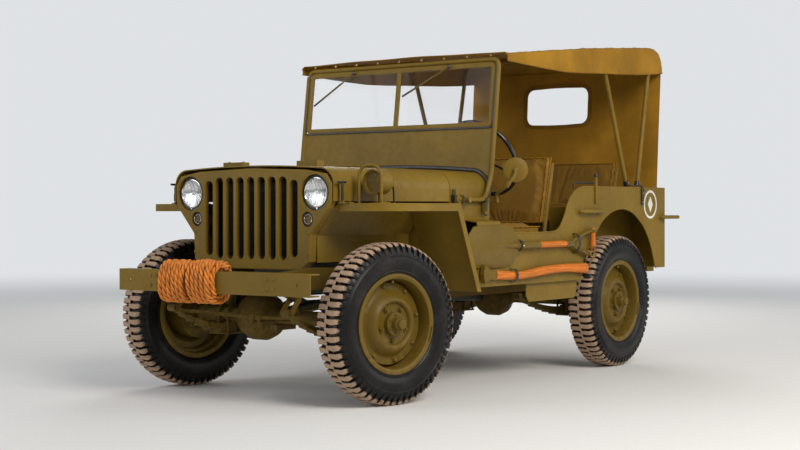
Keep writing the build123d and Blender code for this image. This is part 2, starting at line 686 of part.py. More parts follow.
def windshield():
    """The outer tube, the sheet with its two framed openings, two wipers and the panes."""
    half = WINDSHIELD_HALF - WINDSHIELD_TUBE
    foot_y, foot_z = WINDSHIELD_FOOT
    slope = (WINDSHIELD_TOP[0] - foot_y) / (WINDSHIELD_TOP[1] - foot_z)
    top, base = WINDSHIELD_TOP[1] - WINDSHIELD_TUBE, foot_z - 19
    pivot_y, pivot_z = WINDSHIELD_PIVOT

    def lean(z):
        """The station of the windshield's plane at a height."""
        return foot_y + (z - foot_z) * slope

    lift = Plane(
        origin=(0, lean(base), base), x_dir=(1, 0, 0), z_dir=Vector(0, -1, slope).normalized()
    )
    slant = hypot(top - base, lean(top) - lean(base))
    glass_low = (WINDSHIELD_SILL_Z - base) / (top - base) * slant
    pane = (half - 60, slant - glass_low - 60)
    panes_at = [(side * half / 2, (glass_low + slant) / 2) for side in (-1, 1)]
    with BuildPart() as frame:
        pipe(
            [
                (-half, pivot_y, pivot_z), (-half, 790, pivot_z), (-half, lean(1030), 1030),
                (-half, lean(top), top), (half, lean(top), top), (half, lean(1030), 1030),
                (half, 790, pivot_z), (half, pivot_y, pivot_z),
            ],
            WINDSHIELD_TUBE, 40,
        )
        with BuildSketch(lift) as panel:
            with Locations((0, slant / 2)):
                Rectangle(2 * half, slant)
            with Locations(*panes_at):
                RectangleRounded(*pane, 24, mode=Mode.SUBTRACT)
        extrude(panel.sketch, amount=6, both=True)
        # Each pane sits in a raised frame with round corners.
        with BuildSketch(lift) as rims:
            with Locations(*panes_at):
                RectangleRounded(pane[0] + 36, pane[1] + 36, 40)
                RectangleRounded(*pane, 24, mode=Mode.SUBTRACT)
        extrude(rims.sketch, amount=11, both=True)
        # A wiper hangs from the top of each pane.
        for x0, z0, x1, z1 in ((-284, 1584, -500, 1440), (320, 1584, 85, 1460)):
            start = Vector(x0, lean(z0) - 18, z0)
            rod(tuple(start), (x1, lean(z1) - 18, z1), 4)
            rod(tuple(start), (x0, lean(z0), z0), 9)
        for side in (-1, 1):
            # The pivot's bracket and nut on the cowl's side, and the clamp further back.
            block(span(side, COWL_HALF + 1, half), (pivot_y - 16, pivot_y + 16), (893, 930))
            nut = side * (half + WINDSHIELD_TUBE + 12)
            rod((side * half, pivot_y, pivot_z), (nut, pivot_y, pivot_z), 14)
            block(span(side, half - 6, half + 10), (778, 800), (838, 900))
        # The lower edge arches over the cowl with its seal.
        over = arch(950, COWL_HALF + 6, 915, 1056, 1078, 100)
        extrude(over, amount=180, mode=Mode.SUBTRACT)
    save(frame.part, "windshield_frame")
    with BuildPart() as panes:
        with BuildSketch(lift) as opening:
            with Locations(*panes_at):
                RectangleRounded(*pane, 24)
        extrude(opening.sketch, amount=2.5, both=True)
    save(panes.part, "windshield_glass")


def steering_column():
    """The column and its box on the left rail, with the three pedals and three levers."""
    x, y, z = PITMAN
    with BuildPart() as column:
        rod(COLUMN_FOOT, tuple(Vector(*WHEEL_CENTRE) - COLUMN * 8), 20)
        block((262, 335), (190, 300), (594, 690))
        rod((300, y, z), (x - 9.5, y, z), 14)
        # Pedals: clutch, brake and accelerator, each on a bent arm from the toe board.
        for px, width in ((430, 34), (225, 34), (140, 22)):
            pipe([(px, BODY_FRONT + 64, 621), (px, BODY_FRONT + 70, 700), (px, 713, 735)], 8, 25)
            side_slab([(694, 700), (722, 768), (730, 765), (702, 697)], (px - width, px + width))
        # Gear lever and the two transfer levers, with their knobs.
        for px, lean, top in ((10, 830, 872), (-55, 800, 800), (-95, 800, 790)):
            rod((px, 745, FLOOR_Z + SHEET + 4), (px, lean, top), 7)
            with Locations((px, lean, top)):
                Sphere(19)
    save(column.part, "steering_column")


def steering_wheel():
    """A three-spoke wheel on a hub."""
    plane = Plane(origin=WHEEL_CENTRE, x_dir=(COLUMN.Y, -COLUMN.X, 0), z_dir=COLUMN)
    with BuildPart() as wheel:
        with Locations(plane):
            Torus(STEERING_WHEEL_R, 11)
            Cylinder(28, 12)
        for angle in (30, 150, 270):
            turn = radians(angle)
            rim = Vector(STEERING_WHEEL_R * cos(turn), STEERING_WHEEL_R * sin(turn), 0)
            rod(WHEEL_CENTRE, tuple(plane.from_local_coords(rim)), 6)
    save(wheel.part, "steering_wheel")


def seat_frame(right, left, front, rear, z, top, floor=FLOOR_Z, hinged=False):
    """A bent tube on each side, from the floor under the cushion and up the back."""
    under = z - SEAT_TUBE - 2
    foot = SEAT_PIN[1] - 5 if hinged else floor + SHEET
    for x in (right + SEAT_TUBE, left - SEAT_TUBE):
        pipe(
            [
                (x, front + SEAT_LEG, foot), (x, front + SEAT_LEG, under),
                (x, rear + 62, under), (x, rear + 152, top - 30),
            ],
            SEAT_TUBE, 40,
        )
        rod((x, rear, floor + SHEET), (x, rear, under), 10)
        if hinged:
            # An ear round the pin, with its hole.
            rod((x - 8, *SEAT_PIN), (x + 8, *SEAT_PIN), 13)
            rod((x - 14, *SEAT_PIN), (x + 14, *SEAT_PIN), SEAT_PIN_R + 0.4, mode=Mode.SUBTRACT)
    for y, height in ((front + 120, under), (rear + 142, top - 60)):
        rod((right + SEAT_TUBE, y, height), (left - SEAT_TUBE, y, height), 10)


def cushion_pair(right, left, front, rear, z, top):
    """The seat cushion on the frame and the leaning back cushion in front of its tubes."""
    seat = [
        (front, z), (front, z + 52), (front + 18, z + 68), (front + 60, z + 72),
        (rear - 60, z + 72), (rear - 14, z + 68), (rear, z + 52), (rear, z),
    ]
    back = [
        (rear + 5, z + 84), (rear + 12, z + 75), (rear + 36, z + 75), (rear + 45, z + 84),
        (rear + 125, top - 9), (rear + 116, top), (rear + 88, top), (rear + 75, top - 12),
    ]
    for outline in (seat, back):
        side_slab(outline, (right, left))


def seats():
    """Tubular frames and canvas cushions of the two front seats and the rear bench."""
    with BuildPart() as frames:
        seat_frame(*SEATS["driver"])
        seat_frame(*SEATS["rear"], REAR_FLOOR_Z)
        # The passenger's seat tips on a pin between two ears at each front leg.
        y, z = SEAT_PIN
        right, left = SEATS["passenger"][:2]
        for leg in (right + SEAT_TUBE, left - SEAT_TUBE):
            for side in (-1, 1):
                ear = span(side, 15, 19)
                block((leg + ear[0], leg + ear[1]), (y - 12, y + 12), (FLOOR_Z + SHEET, z + 10))
            rod((leg - 17, y, z), (leg + 17, y, z), SEAT_PIN_R)
    save(frames.part, "seat_frames")
    with BuildPart() as cushions:
        cushion_pair(*SEATS["driver"])
        cushion_pair(*SEATS["rear"])
    save(cushions.part, "seat_cushions")
    with BuildPart() as frame:
        seat_frame(*SEATS["passenger"], hinged=True)
    save(frame.part, "passenger_seat_frame")
    with BuildPart() as cushions:
        cushion_pair(*SEATS["passenger"])
    save(cushions.part, "passenger_seat_cushions")


def canvas_top():
    """The canvas: roof, side valances and rear curtain with its window."""
    rear = max(station for station, _ in ROOF_LINE) - 2
    valance = [*ROOF_LINE[:-2], (rear, VALANCE_Z), (ROOF_LINE[0][0], VALANCE_Z)]
    x0, x1, z0, z1 = REAR_WINDOW
    with BuildPart() as top:
        side_band(ROOF_LINE, (-TOP_HALF, TOP_HALF), CLOTH, radius=20)
        for side in (-1, 1):
            side_slab(valance, span(side, TOP_HALF - CLOTH, TOP_HALF))
        block((x0, x1), (BODY_REAR, BODY_REAR + 100), (z0, z1), mode=Mode.SUBTRACT)
    save(top.part, "canvas_top")


def top_bows():
    """The two steel bows that carry the canvas, with their brackets on the body's sides."""
    with BuildPart() as bows:
        for foot, head, height in BOWS:
            pipe(
                [
                    (-BOW_HALF, foot, 900), (-BOW_HALF, head, height),
                    (BOW_HALF, head, height), (BOW_HALF, foot, 900),
                ],
                BOW_R, 60,
            )
        for side in (-1, 1):
            for foot, _, _ in BOWS:
                block(span(side, BOW_HALF - 3, BOW_HALF + 60), (foot - 12, foot + 12), (886, 902))
    save(bows.part, "top_bows")


def mirror():
    """The round rear-view mirror on its arm, on the driver's side."""
    x, y, z = MIRROR
    with BuildPart() as glass:
        ring(MIRROR, (-0.5, 0.85, 0), [(0, 0), (0, 60), (9, 60), (12, 56), (12, 0)])
        rod((x, y, z), MIRROR_FOOT, 8)
        rod(MIRROR_FOOT, (WINDSHIELD_HALF + 2, MIRROR_FOOT[1], MIRROR_FOOT[2]), 12)
    save(glass.part, "mirror")


def tools():
    """The shovel and axe strapped to the driver's side: heads and handles."""
    x = BODY_HALF + 4
    crest = x + 24
    with BuildPart() as heads:
        # The blade is an outline cut from a large drum, whose hollow side faces the body.
        side_slab(BLADE, (x, x + 40))
        centre = crest - BLADE_BEND_R
        near, far = BLADE[0][0] - 1, SHOVEL_NECK + 2
        with BuildPart(mode=Mode.PRIVATE) as drum:
            rod((centre, near, SHOVEL_Z), (centre, far, SHOVEL_Z), BLADE_BEND_R)
            rod((centre, near, SHOVEL_Z), (centre, far, SHOVEL_Z), BLADE_BEND_R - 4, Mode.SUBTRACT)
        add(drum.part, mode=Mode.INTERSECT)
        # Socket and the ridge that runs from it into the blade.
        rod((crest - 4, SHOVEL_NECK - 15, SHOVEL_Z), (crest - 4, 1086, SHOVEL_Z), 19)
        with Locations(Plane(origin=(crest - 4, SHOVEL_NECK, SHOVEL_Z), z_dir=(0, -1, 0))):
            Cone(18.5, 4, 190, align=(Align.CENTER, Align.CENTER, Align.MIN))
        side_slab(AXE_HEAD, (x + 8, x + 30))
    save(heads.part, "tool_heads")
    with BuildPart() as handles:
        rod((crest - 4, 1088, SHOVEL_Z), (crest - 4, GRIP_SPLIT + 2, SHOVEL_Z), 17.5)
        low, high = SHOVEL_Z - GRIP_HALF, SHOVEL_Z + GRIP_HALF
        for end in (low, high):
            rod((crest - 4, GRIP_SPLIT - 12, SHOVEL_Z), (crest - 4, GRIP_BAR, end), 11)
        rod((crest - 4, GRIP_BAR, low - 16), (crest - 4, GRIP_BAR, high + 16), 14)
        side_slab(AXE_HANDLE, (x + 8, x + 32))
    save(handles.part, "tool_handles")


def wheel_plane(side, axle_y, steer):
    """A wheel's middle and the outward direction of its axle."""
    if steer is None:
        return Vector(side * WHEEL_X, axle_y, AXLE_Z), Vector(side, 0, 0)
    turn = radians(steer)
    out = Vector(side * cos(turn), side * sin(turn), 0)
    return Vector(side * KINGPIN_X, axle_y, AXLE_Z) + out * (WHEEL_X - KINGPIN_X), out


def wheels():
    """Four pressed wheels with their drums, and four tyres."""
    for place, row in WHEELS.items():
        centre, out = wheel_plane(*row)
        with BuildPart() as wheel:
            ring(centre, out, RIM_PROFILE)
        save(wheel.part, f"wheel_{place}")
        with BuildPart() as tyre:
            ring(centre, out, TYRE_PROFILE)
        save(tyre.part, f"tyre_{place}")


def swung(pivot, sideways, forward):
    """A point of the steering gear, from its pivot, at the wheels' angle at rest."""
    angle = radians(STEER_AT_REST)
    return (
        pivot[0] + sideways * cos(angle) + forward * sin(angle),
        pivot[1] + sideways * sin(angle) - forward * cos(angle),
    )


def knuckles():
    """The steering knuckles: cup, spindle, backing plate and tie-rod arm."""
    cup = [
        (-110, 58), (-88, 52), (-66, 46), (-66, 118), (-60, 118), (-60, 30), (-58, 18.5),
        (18, 18.5), (18, 0), (-70, 0), (-72, 20), (-80, 34), (-95, 44), (-110, 48),
    ]
    for place, side in (("left", 1), ("right", -1)):
        centre, out = wheel_plane(side, 0.0, STEER_AT_REST)
        pin = (side * KINGPIN_X, 0.0)
        tip = swung(pin, side * PIN_OFFSET, ARM)
        foot = swung(pin, side * PIN_OFFSET, 48)
        with BuildPart() as knuckle:
            ring(centre, out, cup)
            for end in (1, -1):
                rod((*pin, AXLE_Z + end * 47), (*pin, AXLE_Z + end * 86), 16)
            rod((*foot, ARM_Z), (*tip, ARM_Z), 9)
            rod((*tip, ARM_Z - 10), (*tip, ARM_Z + 38), 8)
        save(knuckle.part, f"knuckle_{place}")


def steering_linkage():
    """Pitman arm, drag link, bell crank and two tie rods."""
    side_tip = swung(CRANK, SIDE_ARM, 0)
    with BuildPart() as crank:
        rod((*CRANK, ARM_Z - 12), (*CRANK, ARM_Z + 12), 22)
        for side in (-1, 1):
            tip = swung(CRANK, side * PIN_OFFSET, ARM)
            rod((*CRANK, ARM_Z), (*tip, ARM_Z), 9)
            rod((*tip, ARM_Z - 10), (*tip, ARM_Z + 38), 8)
        rod((*CRANK, ARM_Z), (*side_tip, ARM_Z), 9)
        rod((*side_tip, ARM_Z - 10), (*side_tip, ARM_Z + 9.5), 8)
    save(crank.part, "bell_crank")
    link_z = ARM_Z + 25
    for place, side in (("left", 1), ("right", -1)):
        near = swung(CRANK, side * PIN_OFFSET, ARM)
        far = swung((side * KINGPIN_X, 0.0), side * PIN_OFFSET, ARM)
        run = (Vector(*far) - Vector(*near)).normalized() * 13
        with BuildPart() as link:
            for x, y in (near, far):
                rod((x, y, link_z - 11), (x, y, link_z + 11), 17)
            rod(
                (near[0] + run.X, near[1] + run.Y, link_z),
                (far[0] - run.X, far[1] - run.Y, link_z),
                9.5,
            )
            rod((*near, link_z - 15), (*near, link_z + 15), 8.4, mode=Mode.SUBTRACT)
            rod((*far, link_z - 15), (*far, link_z + 15), 10, mode=Mode.SUBTRACT)
        save(link.part, f"tie_rod_{place}")
    x, y, z = PITMAN
    turn = radians(STEER_AT_REST)
    low = (y + SIDE_ARM * sin(turn), z - SIDE_ARM * cos(turn))
    with BuildPart() as pitman:
        rod((x - 9, y, z), (x + 9, y, z), 22)
        rod((x, y, z), (x, *low), 8)
        rod((x - 10, *low), (x + 30, *low), 9)
    save(pitman.part, "pitman_arm")
    start = Vector(x + 21, *low)
    end = Vector(*side_tip, ARM_Z + 52)
    run = (end - start).normalized() * 15
    with BuildPart() as link:
        rod((x + 13, *low), (x + 29, *low), 18)
        rod(tuple(start + run), tuple(end), 7.5)
        rod((x + 10, *low), (x + 32, *low), 9.4, mode=Mode.SUBTRACT)
        rod(tuple(end - Vector(0, 0, 12)), tuple(end + Vector(0, 0, 12)), 16)
    save(link.part, "drag_link")


def axle_profile(end, ball):
    """Outline of an axle housing as sideways distance and radius, from right end to left."""
    shoulder, side, crown = 96.0, 74.0, 34.0
    tube = AXLE_TUBE_R
    if ball:
        # The ball is cut flat outside the kingpin, where the drive shaft's fork stands.
        flat = 0.9 * ball
        flat_r = (ball * ball - flat * flat) ** 0.5
        reach = (ball * ball - tube * tube) ** 0.5
        cap = [(end + flat, 0), (end + flat, flat_r), (end, ball, "arc"), (end - reach, tube)]
    else:
        cap = [(end, 0), (end, tube)]
    bulge = [
        (-130, tube), (-shoulder, 60), (-side, 94), (-crown, DIFFERENTIAL_R),
        (crown, DIFFERENTIAL_R), (side, 94), (shoulder, 60), (130, tube),
    ]
    right = [(-point[0], *point[1:]) for point in cap]
    return right + [(DIFFERENTIAL_X + x, radius) for x, radius in bulge] + cap[::-1]


def axles():
    """The two axle housings, each with its differential offset to the right."""
    with BuildPart() as front:
        ring((0, 0, AXLE_Z), (1, 0, 0), axle_profile(KINGPIN_X, BALL_R))
        # The bell crank's post stands ahead of the tube.
        block((40, 80), (-140, -5), (ARM_Z - 42, ARM_Z - 16))
    save(front.part, "front_axle")
    drum = [(-66, 0), (18, 0), (18, 18.5), (-60, 18.5), (-60, 118), (-66, 118)]
    with BuildPart() as rear:
        ring((0, WHEELBASE, AXLE_Z), (1, 0, 0), axle_profile(WHEEL_X - 62, 0.0))
        for side in (-1, 1):
            ring(*wheel_plane(side, WHEELBASE, None), drum)
    save(rear.part, "rear_axle")


def spring_outline(axle, ahead, behind, front_z, rear_z):
    """A stack of leaves from the side: each leaf is shorter than the one above it.

    The lower face of the top leaf is a parabola in each half, from the axle to its end.
    """
    top = [(axle, SPRING_LOW_Z + LEAF)]
    bottom = [(axle, SPRING_LOW_Z - LEAF * (LEAVES - 1))]
    for reach, end_z in ((-ahead, front_z), (behind, rear_z)):
        rise = end_z - SPRING_LOW_Z
        upper = [(axle + reach * t / 6, SPRING_LOW_Z + rise * (t / 6) ** 2 + LEAF) for t in range(1, 7)]
        lower = [(axle + reach, end_z)]
        for leaf in range(1, LEAVES):
            share = 1 - LEAF_STEP * leaf
            z = SPRING_LOW_Z + rise * share**2 - LEAF * leaf
            lower += [(axle + reach * share, z + LEAF), (axle + reach * share, z)]
        if reach < 0:
            top, bottom = upper[::-1] + top, bottom + lower[::-1]
        else:
            top, bottom = top + upper, lower + bottom
    return top + bottom


def suspension():
    """Four leaf springs under the axles with eyes, shackles, U-bolts and shock absorbers."""
    inner, outer = SPRING_X - SPRING_HALF, SPRING_X + SPRING_HALF
    pad_z = SPRING_LOW_Z - LEAF * (LEAVES - 1)
    with BuildPart() as packs:
        for side in (-1, 1):
            x = span(side, inner, outer)
            for axle, ahead, behind, front_z, rear_z, shackle in SPRINGS:
                side_slab(spring_outline(axle, ahead, behind, front_z, rear_z), x)
                ends = {-1: (axle - ahead, front_z), 1: (axle + behind, rear_z)}
                for way, (station, z) in ends.items():
                    rod((x[0], station, z + 10), (x[1], station, z + 10), 17)
                    rail = height_on(RAIL_LINE, station) - RAIL_H / 2
                    if way != shackle:
                        block(x, (station - 16, station + 16), (z + 14, rail - 9))
                        continue
                    # Two links hang this end from a bracket under the rail.
                    upper = station + (60 if way < 0 else -50)
                    high = height_on(RAIL_LINE, upper) - RAIL_H / 2 - 22
                    for inside, outside in ((inner - 7, inner - 1), (outer + 1, outer + 7)):
                        plate = span(side, inside, outside)
                        side_band([(station, z + 10), (upper, high)], plate, 26)
                    for pin, height in ((station, z + 10), (upper, high)):
                        rod(
                            (side * (inner - 9), pin, height), (side * (outer + 9), pin, height), 8
                        )
                    block(x, (upper - 14, upper + 14), (high - 6, high + 17))
                # Plate, U-bolts over the tube, and the damper beside the rail.
                plate = (pad_z - 8, pad_z)
                block(span(side, inner - 14, outer + 62), (axle - 52, axle + 52), plate)
                block(x, (axle - 30, axle + 30), (SPRING_LOW_Z + LEAF - 1, AXLE_Z - AXLE_TUBE_R))
                for bolt in (inner - 7, outer + 7):
                    over = AXLE_Z + AXLE_TUBE_R + 8
                    loop = [(-42, pad_z - 4), (-42, over), (42, over), (42, pad_z - 4)]
                    pipe([(side * bolt, axle + s, z) for s, z in loop], 6, 30)
                x_damper = side * (outer + 40)
                foot = (x_damper, axle + 30, pad_z)
                rail = height_on(RAIL_LINE, axle + 120)
                head = (x_damper, axle + 120, rail - 10)
                rod(foot, head, 14)
                middle = Vector(*foot) + (Vector(*head) - Vector(*foot)) * 0.42
                rod(tuple(middle), head, 23)
                block(
                    span(side, RAIL_HALF + 1, outer + 40), (axle + 106, axle + 134),
                    (rail - 22, rail + 2),
                )
    save(packs.part, "suspension")


def spare():
    """The spare wheel and tyre on the rear panel, to the right of the middle."""
    out = Vector(0, 1, 0)
    with BuildPart() as wheel:
        ring(SPARE, out, RIM_PROFILE)
    save(wheel.part, "spare_wheel")
    with BuildPart() as tyre:
        ring(SPARE, out, TYRE_PROFILE)
    save(tyre.part, "spare_tyre")


def rear_fittings():
    """Bumperettes, tow hook, the spare's bracket and the can's tray, then the can."""
    with BuildPart() as fittings:
        for side in (-1, 1):
            x = span(side, BUMPERETTE_X - 90, BUMPERETTE_X + 90)
            block(x, (BODY_REAR + 1, BODY_REAR + 90), (500, 570))
            hollow = (x[0] + SHEET, x[1] - SHEET)
            block(hollow, (BODY_REAR, BODY_REAR + 84), (506, 564), mode=Mode.SUBTRACT)
        block((-60, 60), (BODY_REAR + 1, BODY_REAR + 60), (500, 600))
        rod((0, BODY_REAR + 50, 550), (0, BODY_REAR + 150, 550), 25)
        # The spare's carrier: a raised plate on a square foot.
        x, _, z = SPARE
        block((x - 80, x + 80), (BODY_REAR + 1, BODY_REAR + 60), (z - 60, z + 60))
        rod((x, BODY_REAR + 55, z), (x, BODY_REAR + 179, z), 60)
        tray = (CAN_X[0] - 20, CAN_X[1] + 20)
        block(tray, (BODY_REAR, BODY_REAR + 210), (CAN_Z[0] - 7, CAN_Z[0] - 1))
        for y in ((BODY_REAR + 204, BODY_REAR + 210), (BODY_REAR + 1, BODY_REAR + 7)):
            block(tray, y, (CAN_Z[0] - 7, CAN_Z[0] + 60))
    save(fittings.part, "rear_fittings")
    middle = (CAN_X[0] + CAN_X[1]) / 2
    with BuildPart() as can:
        with BuildSketch(Plane.XY.offset(CAN_Z[0])) as base:
            with Locations((middle, BODY_REAR + 118)):
                RectangleRounded(CAN_X[1] - CAN_X[0], 165, 30)
        extrude(base.sketch, amount=CAN_Z[1] - CAN_Z[0] - 60)
        top = CAN_Z[1] - 60
        with BuildSketch(Plane.XY.offset(top)) as crown:
            with Locations((middle, BODY_REAR + 118)):
                RectangleRounded(CAN_X[1] - CAN_X[0] - 24, 141, 22)
        extrude(crown.sketch, amount=14)
        # Three handles in a row, and the filler's cap.
        for x in (middle - 45, middle, middle + 45):
            ends = [BODY_REAR + 80, BODY_REAR + 160]
            pipe([(x, ends[0], top + 8), (x, ends[0], top + 46), (x, ends[1], top + 46),
                  (x, ends[1], top + 8)], 6, 14)
        rod((middle, BODY_REAR + 62, top + 8), (middle, BODY_REAR + 62, top + 36), 13)
    save(can.part, "jerrycan")


chassis_frame()
front_bumper()
grille()
lamps()
radiator()
powertrain()
front_fenders()
hood()
cowl()
tub()
windshield()
steering_column()
steering_wheel()
seats()
canvas_top()
top_bows()
mirror()
tools()
wheels()
knuckles()
steering_linkage()
axles()
suspension()
spare()
rear_fittings()
rope()
print(len(LABELS), "pieces")
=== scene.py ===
"""Looks of the army 4x4 car: finishes, tyres, rope, canvas, cushions and small fittings.

Everything is in metres in the car's frame: +Z up, the car faces -Y and +X is its left. Forms
are built with a station in the place of y, which is a distance behind the front axle, and
make() moves them to the frame. A form is a pair: an array of points and a list of arrays of
faces.
"""

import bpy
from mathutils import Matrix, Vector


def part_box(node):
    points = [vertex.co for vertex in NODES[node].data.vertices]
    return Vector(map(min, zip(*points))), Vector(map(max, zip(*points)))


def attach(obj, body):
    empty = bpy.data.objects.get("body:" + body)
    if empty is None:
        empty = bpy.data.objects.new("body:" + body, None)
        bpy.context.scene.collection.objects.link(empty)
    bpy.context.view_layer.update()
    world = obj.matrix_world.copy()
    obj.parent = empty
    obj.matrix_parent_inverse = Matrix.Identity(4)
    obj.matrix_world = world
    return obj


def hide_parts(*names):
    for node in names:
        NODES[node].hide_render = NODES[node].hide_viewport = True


bl_info = {
    "name": "Army 4x4 Car",
    "version": (1, 0, 0),
    "blender": (4, 5, 0),
    "location": "View3D > Sidebar > Army Car",
    "description": "Dresses the packed army car with its finishes and detailed pieces",
    "category": "Object",
}

from math import cos, pi, radians, sin

import bmesh
import bpy
import numpy as np

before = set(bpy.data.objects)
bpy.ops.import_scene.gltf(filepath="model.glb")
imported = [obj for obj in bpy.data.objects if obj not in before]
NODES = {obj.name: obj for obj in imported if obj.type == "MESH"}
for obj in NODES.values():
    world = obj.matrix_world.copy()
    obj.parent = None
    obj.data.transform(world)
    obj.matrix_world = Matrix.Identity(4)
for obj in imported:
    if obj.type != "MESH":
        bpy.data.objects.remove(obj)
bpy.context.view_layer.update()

# The car's main places.
FRONT_AXLE_Y = -1.185
WHEELBASE = 2.032
TRACK_HALF = 0.6225
KINGPIN_X = 0.505
AXLE_Z = 0.358
STEER_AT_REST = radians(-11.0)
BACKDROP = (0.74, 0.76, 0.78, 1.0)

# Directions and the middle of a form that is turned before it is put in its place.
MIDDLE = np.zeros(3)
UP, REAR, FRONT, LEFT, RIGHT = (0, 0, 1), (0, 1, 0), (0, -1, 0), (1, 0, 0), (-1, 0, 0)


def in_frame(points):
    """Points with stations as points of the car's frame."""
    return np.asarray(points, float) + [0, FRONT_AXLE_Y, 0]


def in_stations(points):
    """Points of the car's frame as points with stations."""
    return np.asarray(points, float) - [0, FRONT_AXLE_Y, 0]


def box_of(node):
    """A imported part's box as two corners with stations."""
    return [in_stations(corner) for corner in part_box(node)]


def skin(points, around=False, along=False):
    """A grid of points, rows by columns, as one surface of four-sided faces."""
    rows, cols = points.shape[:2]
    row = np.arange(rows if along else rows - 1)[:, None]
    col = np.arange(cols if around else cols - 1)[None, :]
    row_next, col_next = (row + 1) % rows, (col + 1) % cols
    pairs = [(row, col), (row, col_next), (row_next, col_next), (row_next, col)]
    return points.reshape(-1, 3), [np.stack([a * cols + b for a, b in pairs], -1).reshape(-1, 4)]


def together(*forms):
    """Several forms as one."""
    points, faces, start = [], [], 0
    for own_points, own_faces in forms:
        points.append(own_points)
        faces += [group + start for group in own_faces]
        start += len(own_points)
    return np.concatenate(points), faces


def shut(rows):
    """Rows of a tube with a row drawn into one point at each end, which closes it."""
    first, last = (row.mean(0)[None, None].repeat(rows.shape[1], 1) for row in (rows[0], rows[-1]))
    return np.concatenate([first, rows, last])


def unit(vectors):
    """Vectors of length one along the last axis."""
    return vectors / np.linalg.norm(vectors, axis=-1, keepdims=True)


def turned(profile, origin, direction, sides=48):
    """A profile of (radius, height) turned about an axis: p = o + h a + r (cos t u + sin t v)."""
    radius, height = np.asarray(profile, float).T[:, :, None, None]
    axis = unit(np.asarray(direction, float))
    other = np.array([0.0, 0.0, 1.0]) if abs(axis[2]) < 0.9 else np.array([1.0, 0.0, 0.0])
    side = unit(np.cross(other, axis))
    angle = np.linspace(0, 2 * pi, sides, endpoint=False)[:, None]
    spokes = np.cos(angle) * side + np.sin(angle) * np.cross(axis, side)
    return skin(np.asarray(origin, float) + height * axis + radius * spokes, around=True)


def frames_on(path, up, closed=False):
    """Unit side and upward directions along a path."""
    step = np.roll(path, -1, 0) - np.roll(path, 1, 0)
    if not closed:
        step[0], step[-1] = path[1] - path[0], path[-1] - path[-2]
    tangent = unit(step)
    side = unit(np.cross(tangent, np.asarray(up, float)))
    return side, np.cross(side, tangent)


def carried(section, path, up=(0.31, 0.17, 0.93), closed=False, scale=1.0):
    """A closed section of (side, up) points carried along a path, shut at open ends."""
    section, path = np.asarray(section, float), np.asarray(path, float)
    side, top = frames_on(path, up, closed)
    size = (np.ones(len(path)) * scale)[:, None, None]
    rows = path[:, None] + size * (section[:, :1] * side[:, None] + section[:, 1:] * top[:, None])
    return skin(rows if closed else shut(rows), around=True, along=closed)


def circle(radius, sides):
    """A round section."""
    angle = np.arange(sides) * 2 * pi / sides
    return radius * np.stack([np.cos(angle), np.sin(angle)], -1)


def tube(path, radius, up=(0.31, 0.17, 0.93), sides=10, closed=False, scale=1.0):
    """A round bar along a path."""
    return carried(circle(radius, sides), path, up, closed, scale)


def bent(points, radius, steps=7):
    """A path with each inner corner replaced by a parabola that starts a radius from it."""
    points = np.asarray(points, float)
    inner, before, after = points[1:-1], points[:-2], points[2:]
    reach = np.minimum(radius, 0.49 * np.linalg.norm(before - inner, axis=1))
    reach = np.minimum(reach, 0.49 * np.linalg.norm(after - inner, axis=1))[:, None]
    start = inner + unit(before - inner) * reach
    end = inner + unit(after - inner) * reach
    t = np.linspace(0, 1, steps)[None, :, None]
    arcs = (1 - t) ** 2 * start[:, None] + 2 * t * (1 - t) * inner[:, None] + t**2 * end[:, None]
    return np.concatenate([points[:1], arcs.reshape(-1, points.shape[1]), points[-1:]])


def loop_offset(outline, inset):
    """A closed outline moved inwards, each corner along the mean of its two edges' normals."""
    following = np.roll(outline, -1, 0)
    ahead = unit(following - outline)
    both = ahead + np.roll(ahead, 1, 0)
    normal = np.stack([-both[:, 1], both[:, 0]], -1)
    normal /= np.maximum(0.35, (normal**2).sum(-1, keepdims=True) / 2)
    area = (outline[:, 0] * following[:, 1] - following[:, 0] * outline[:, 1]).sum()
    return outline + np.sign(area) * inset * normal


def slab(outline, low, high, edge=0.001, origin=(0, 0, 0), x_axis=LEFT, y_axis=REAR):
    """A flat outline carried between two heights over its plane, with chamfered rims."""
    outline, origin = np.asarray(outline, float), np.asarray(origin, float)
    x_axis, y_axis = unit(np.asarray(x_axis, float)), unit(np.asarray(y_axis, float))
    normal = np.cross(x_axis, y_axis)
    inner = loop_offset(outline, edge)
    rims = [(inner, low), (outline, low + edge), (outline, high - edge), (inner, high)]
    rows = [origin + flat @ np.stack([x_axis, y_axis]) + height * normal for flat, height in rims]
    points, faces = skin(np.stack(rows), around=True)
    rim = np.arange(len(outline))[None]
    return points, [*faces, rim[:, ::-1], 3 * len(outline) + rim]


def oblong(x0, y0, x1, y1):
    """A rectangle's outline between two corners."""
    return [(x0, y0), (x1, y0), (x1, y1), (x0, y1)]


def block(low, high, edge=0.001):
    """A chamfered box between two corners."""
    return slab(oblong(*low[:2], *high[:2]), low[2], high[2], edge)


def rounded(width, height, radius, steps=5):
    """A rectangle's outline with round corners, about its middle."""
    arc = radius * circle(1, 4 * (steps - 1))[:steps]
    outline = []
    for quarter, (sx, sy) in enumerate(((1, 1), (-1, 1), (-1, -1), (1, -1))):
        turn = quarter * pi / 2
        spin = np.array([[cos(turn), sin(turn)], [-sin(turn), cos(turn)]])
        outline.append(arc @ spin + [sx * (width / 2 - radius), sy * (height / 2 - radius)])
    return np.concatenate(outline)


def both_sides(form):
    """A form and its mirror image on the car's other side."""
    points, faces = form
    return together(form, (points * [-1, 1, 1], [group[:, ::-1] for group in faces]))


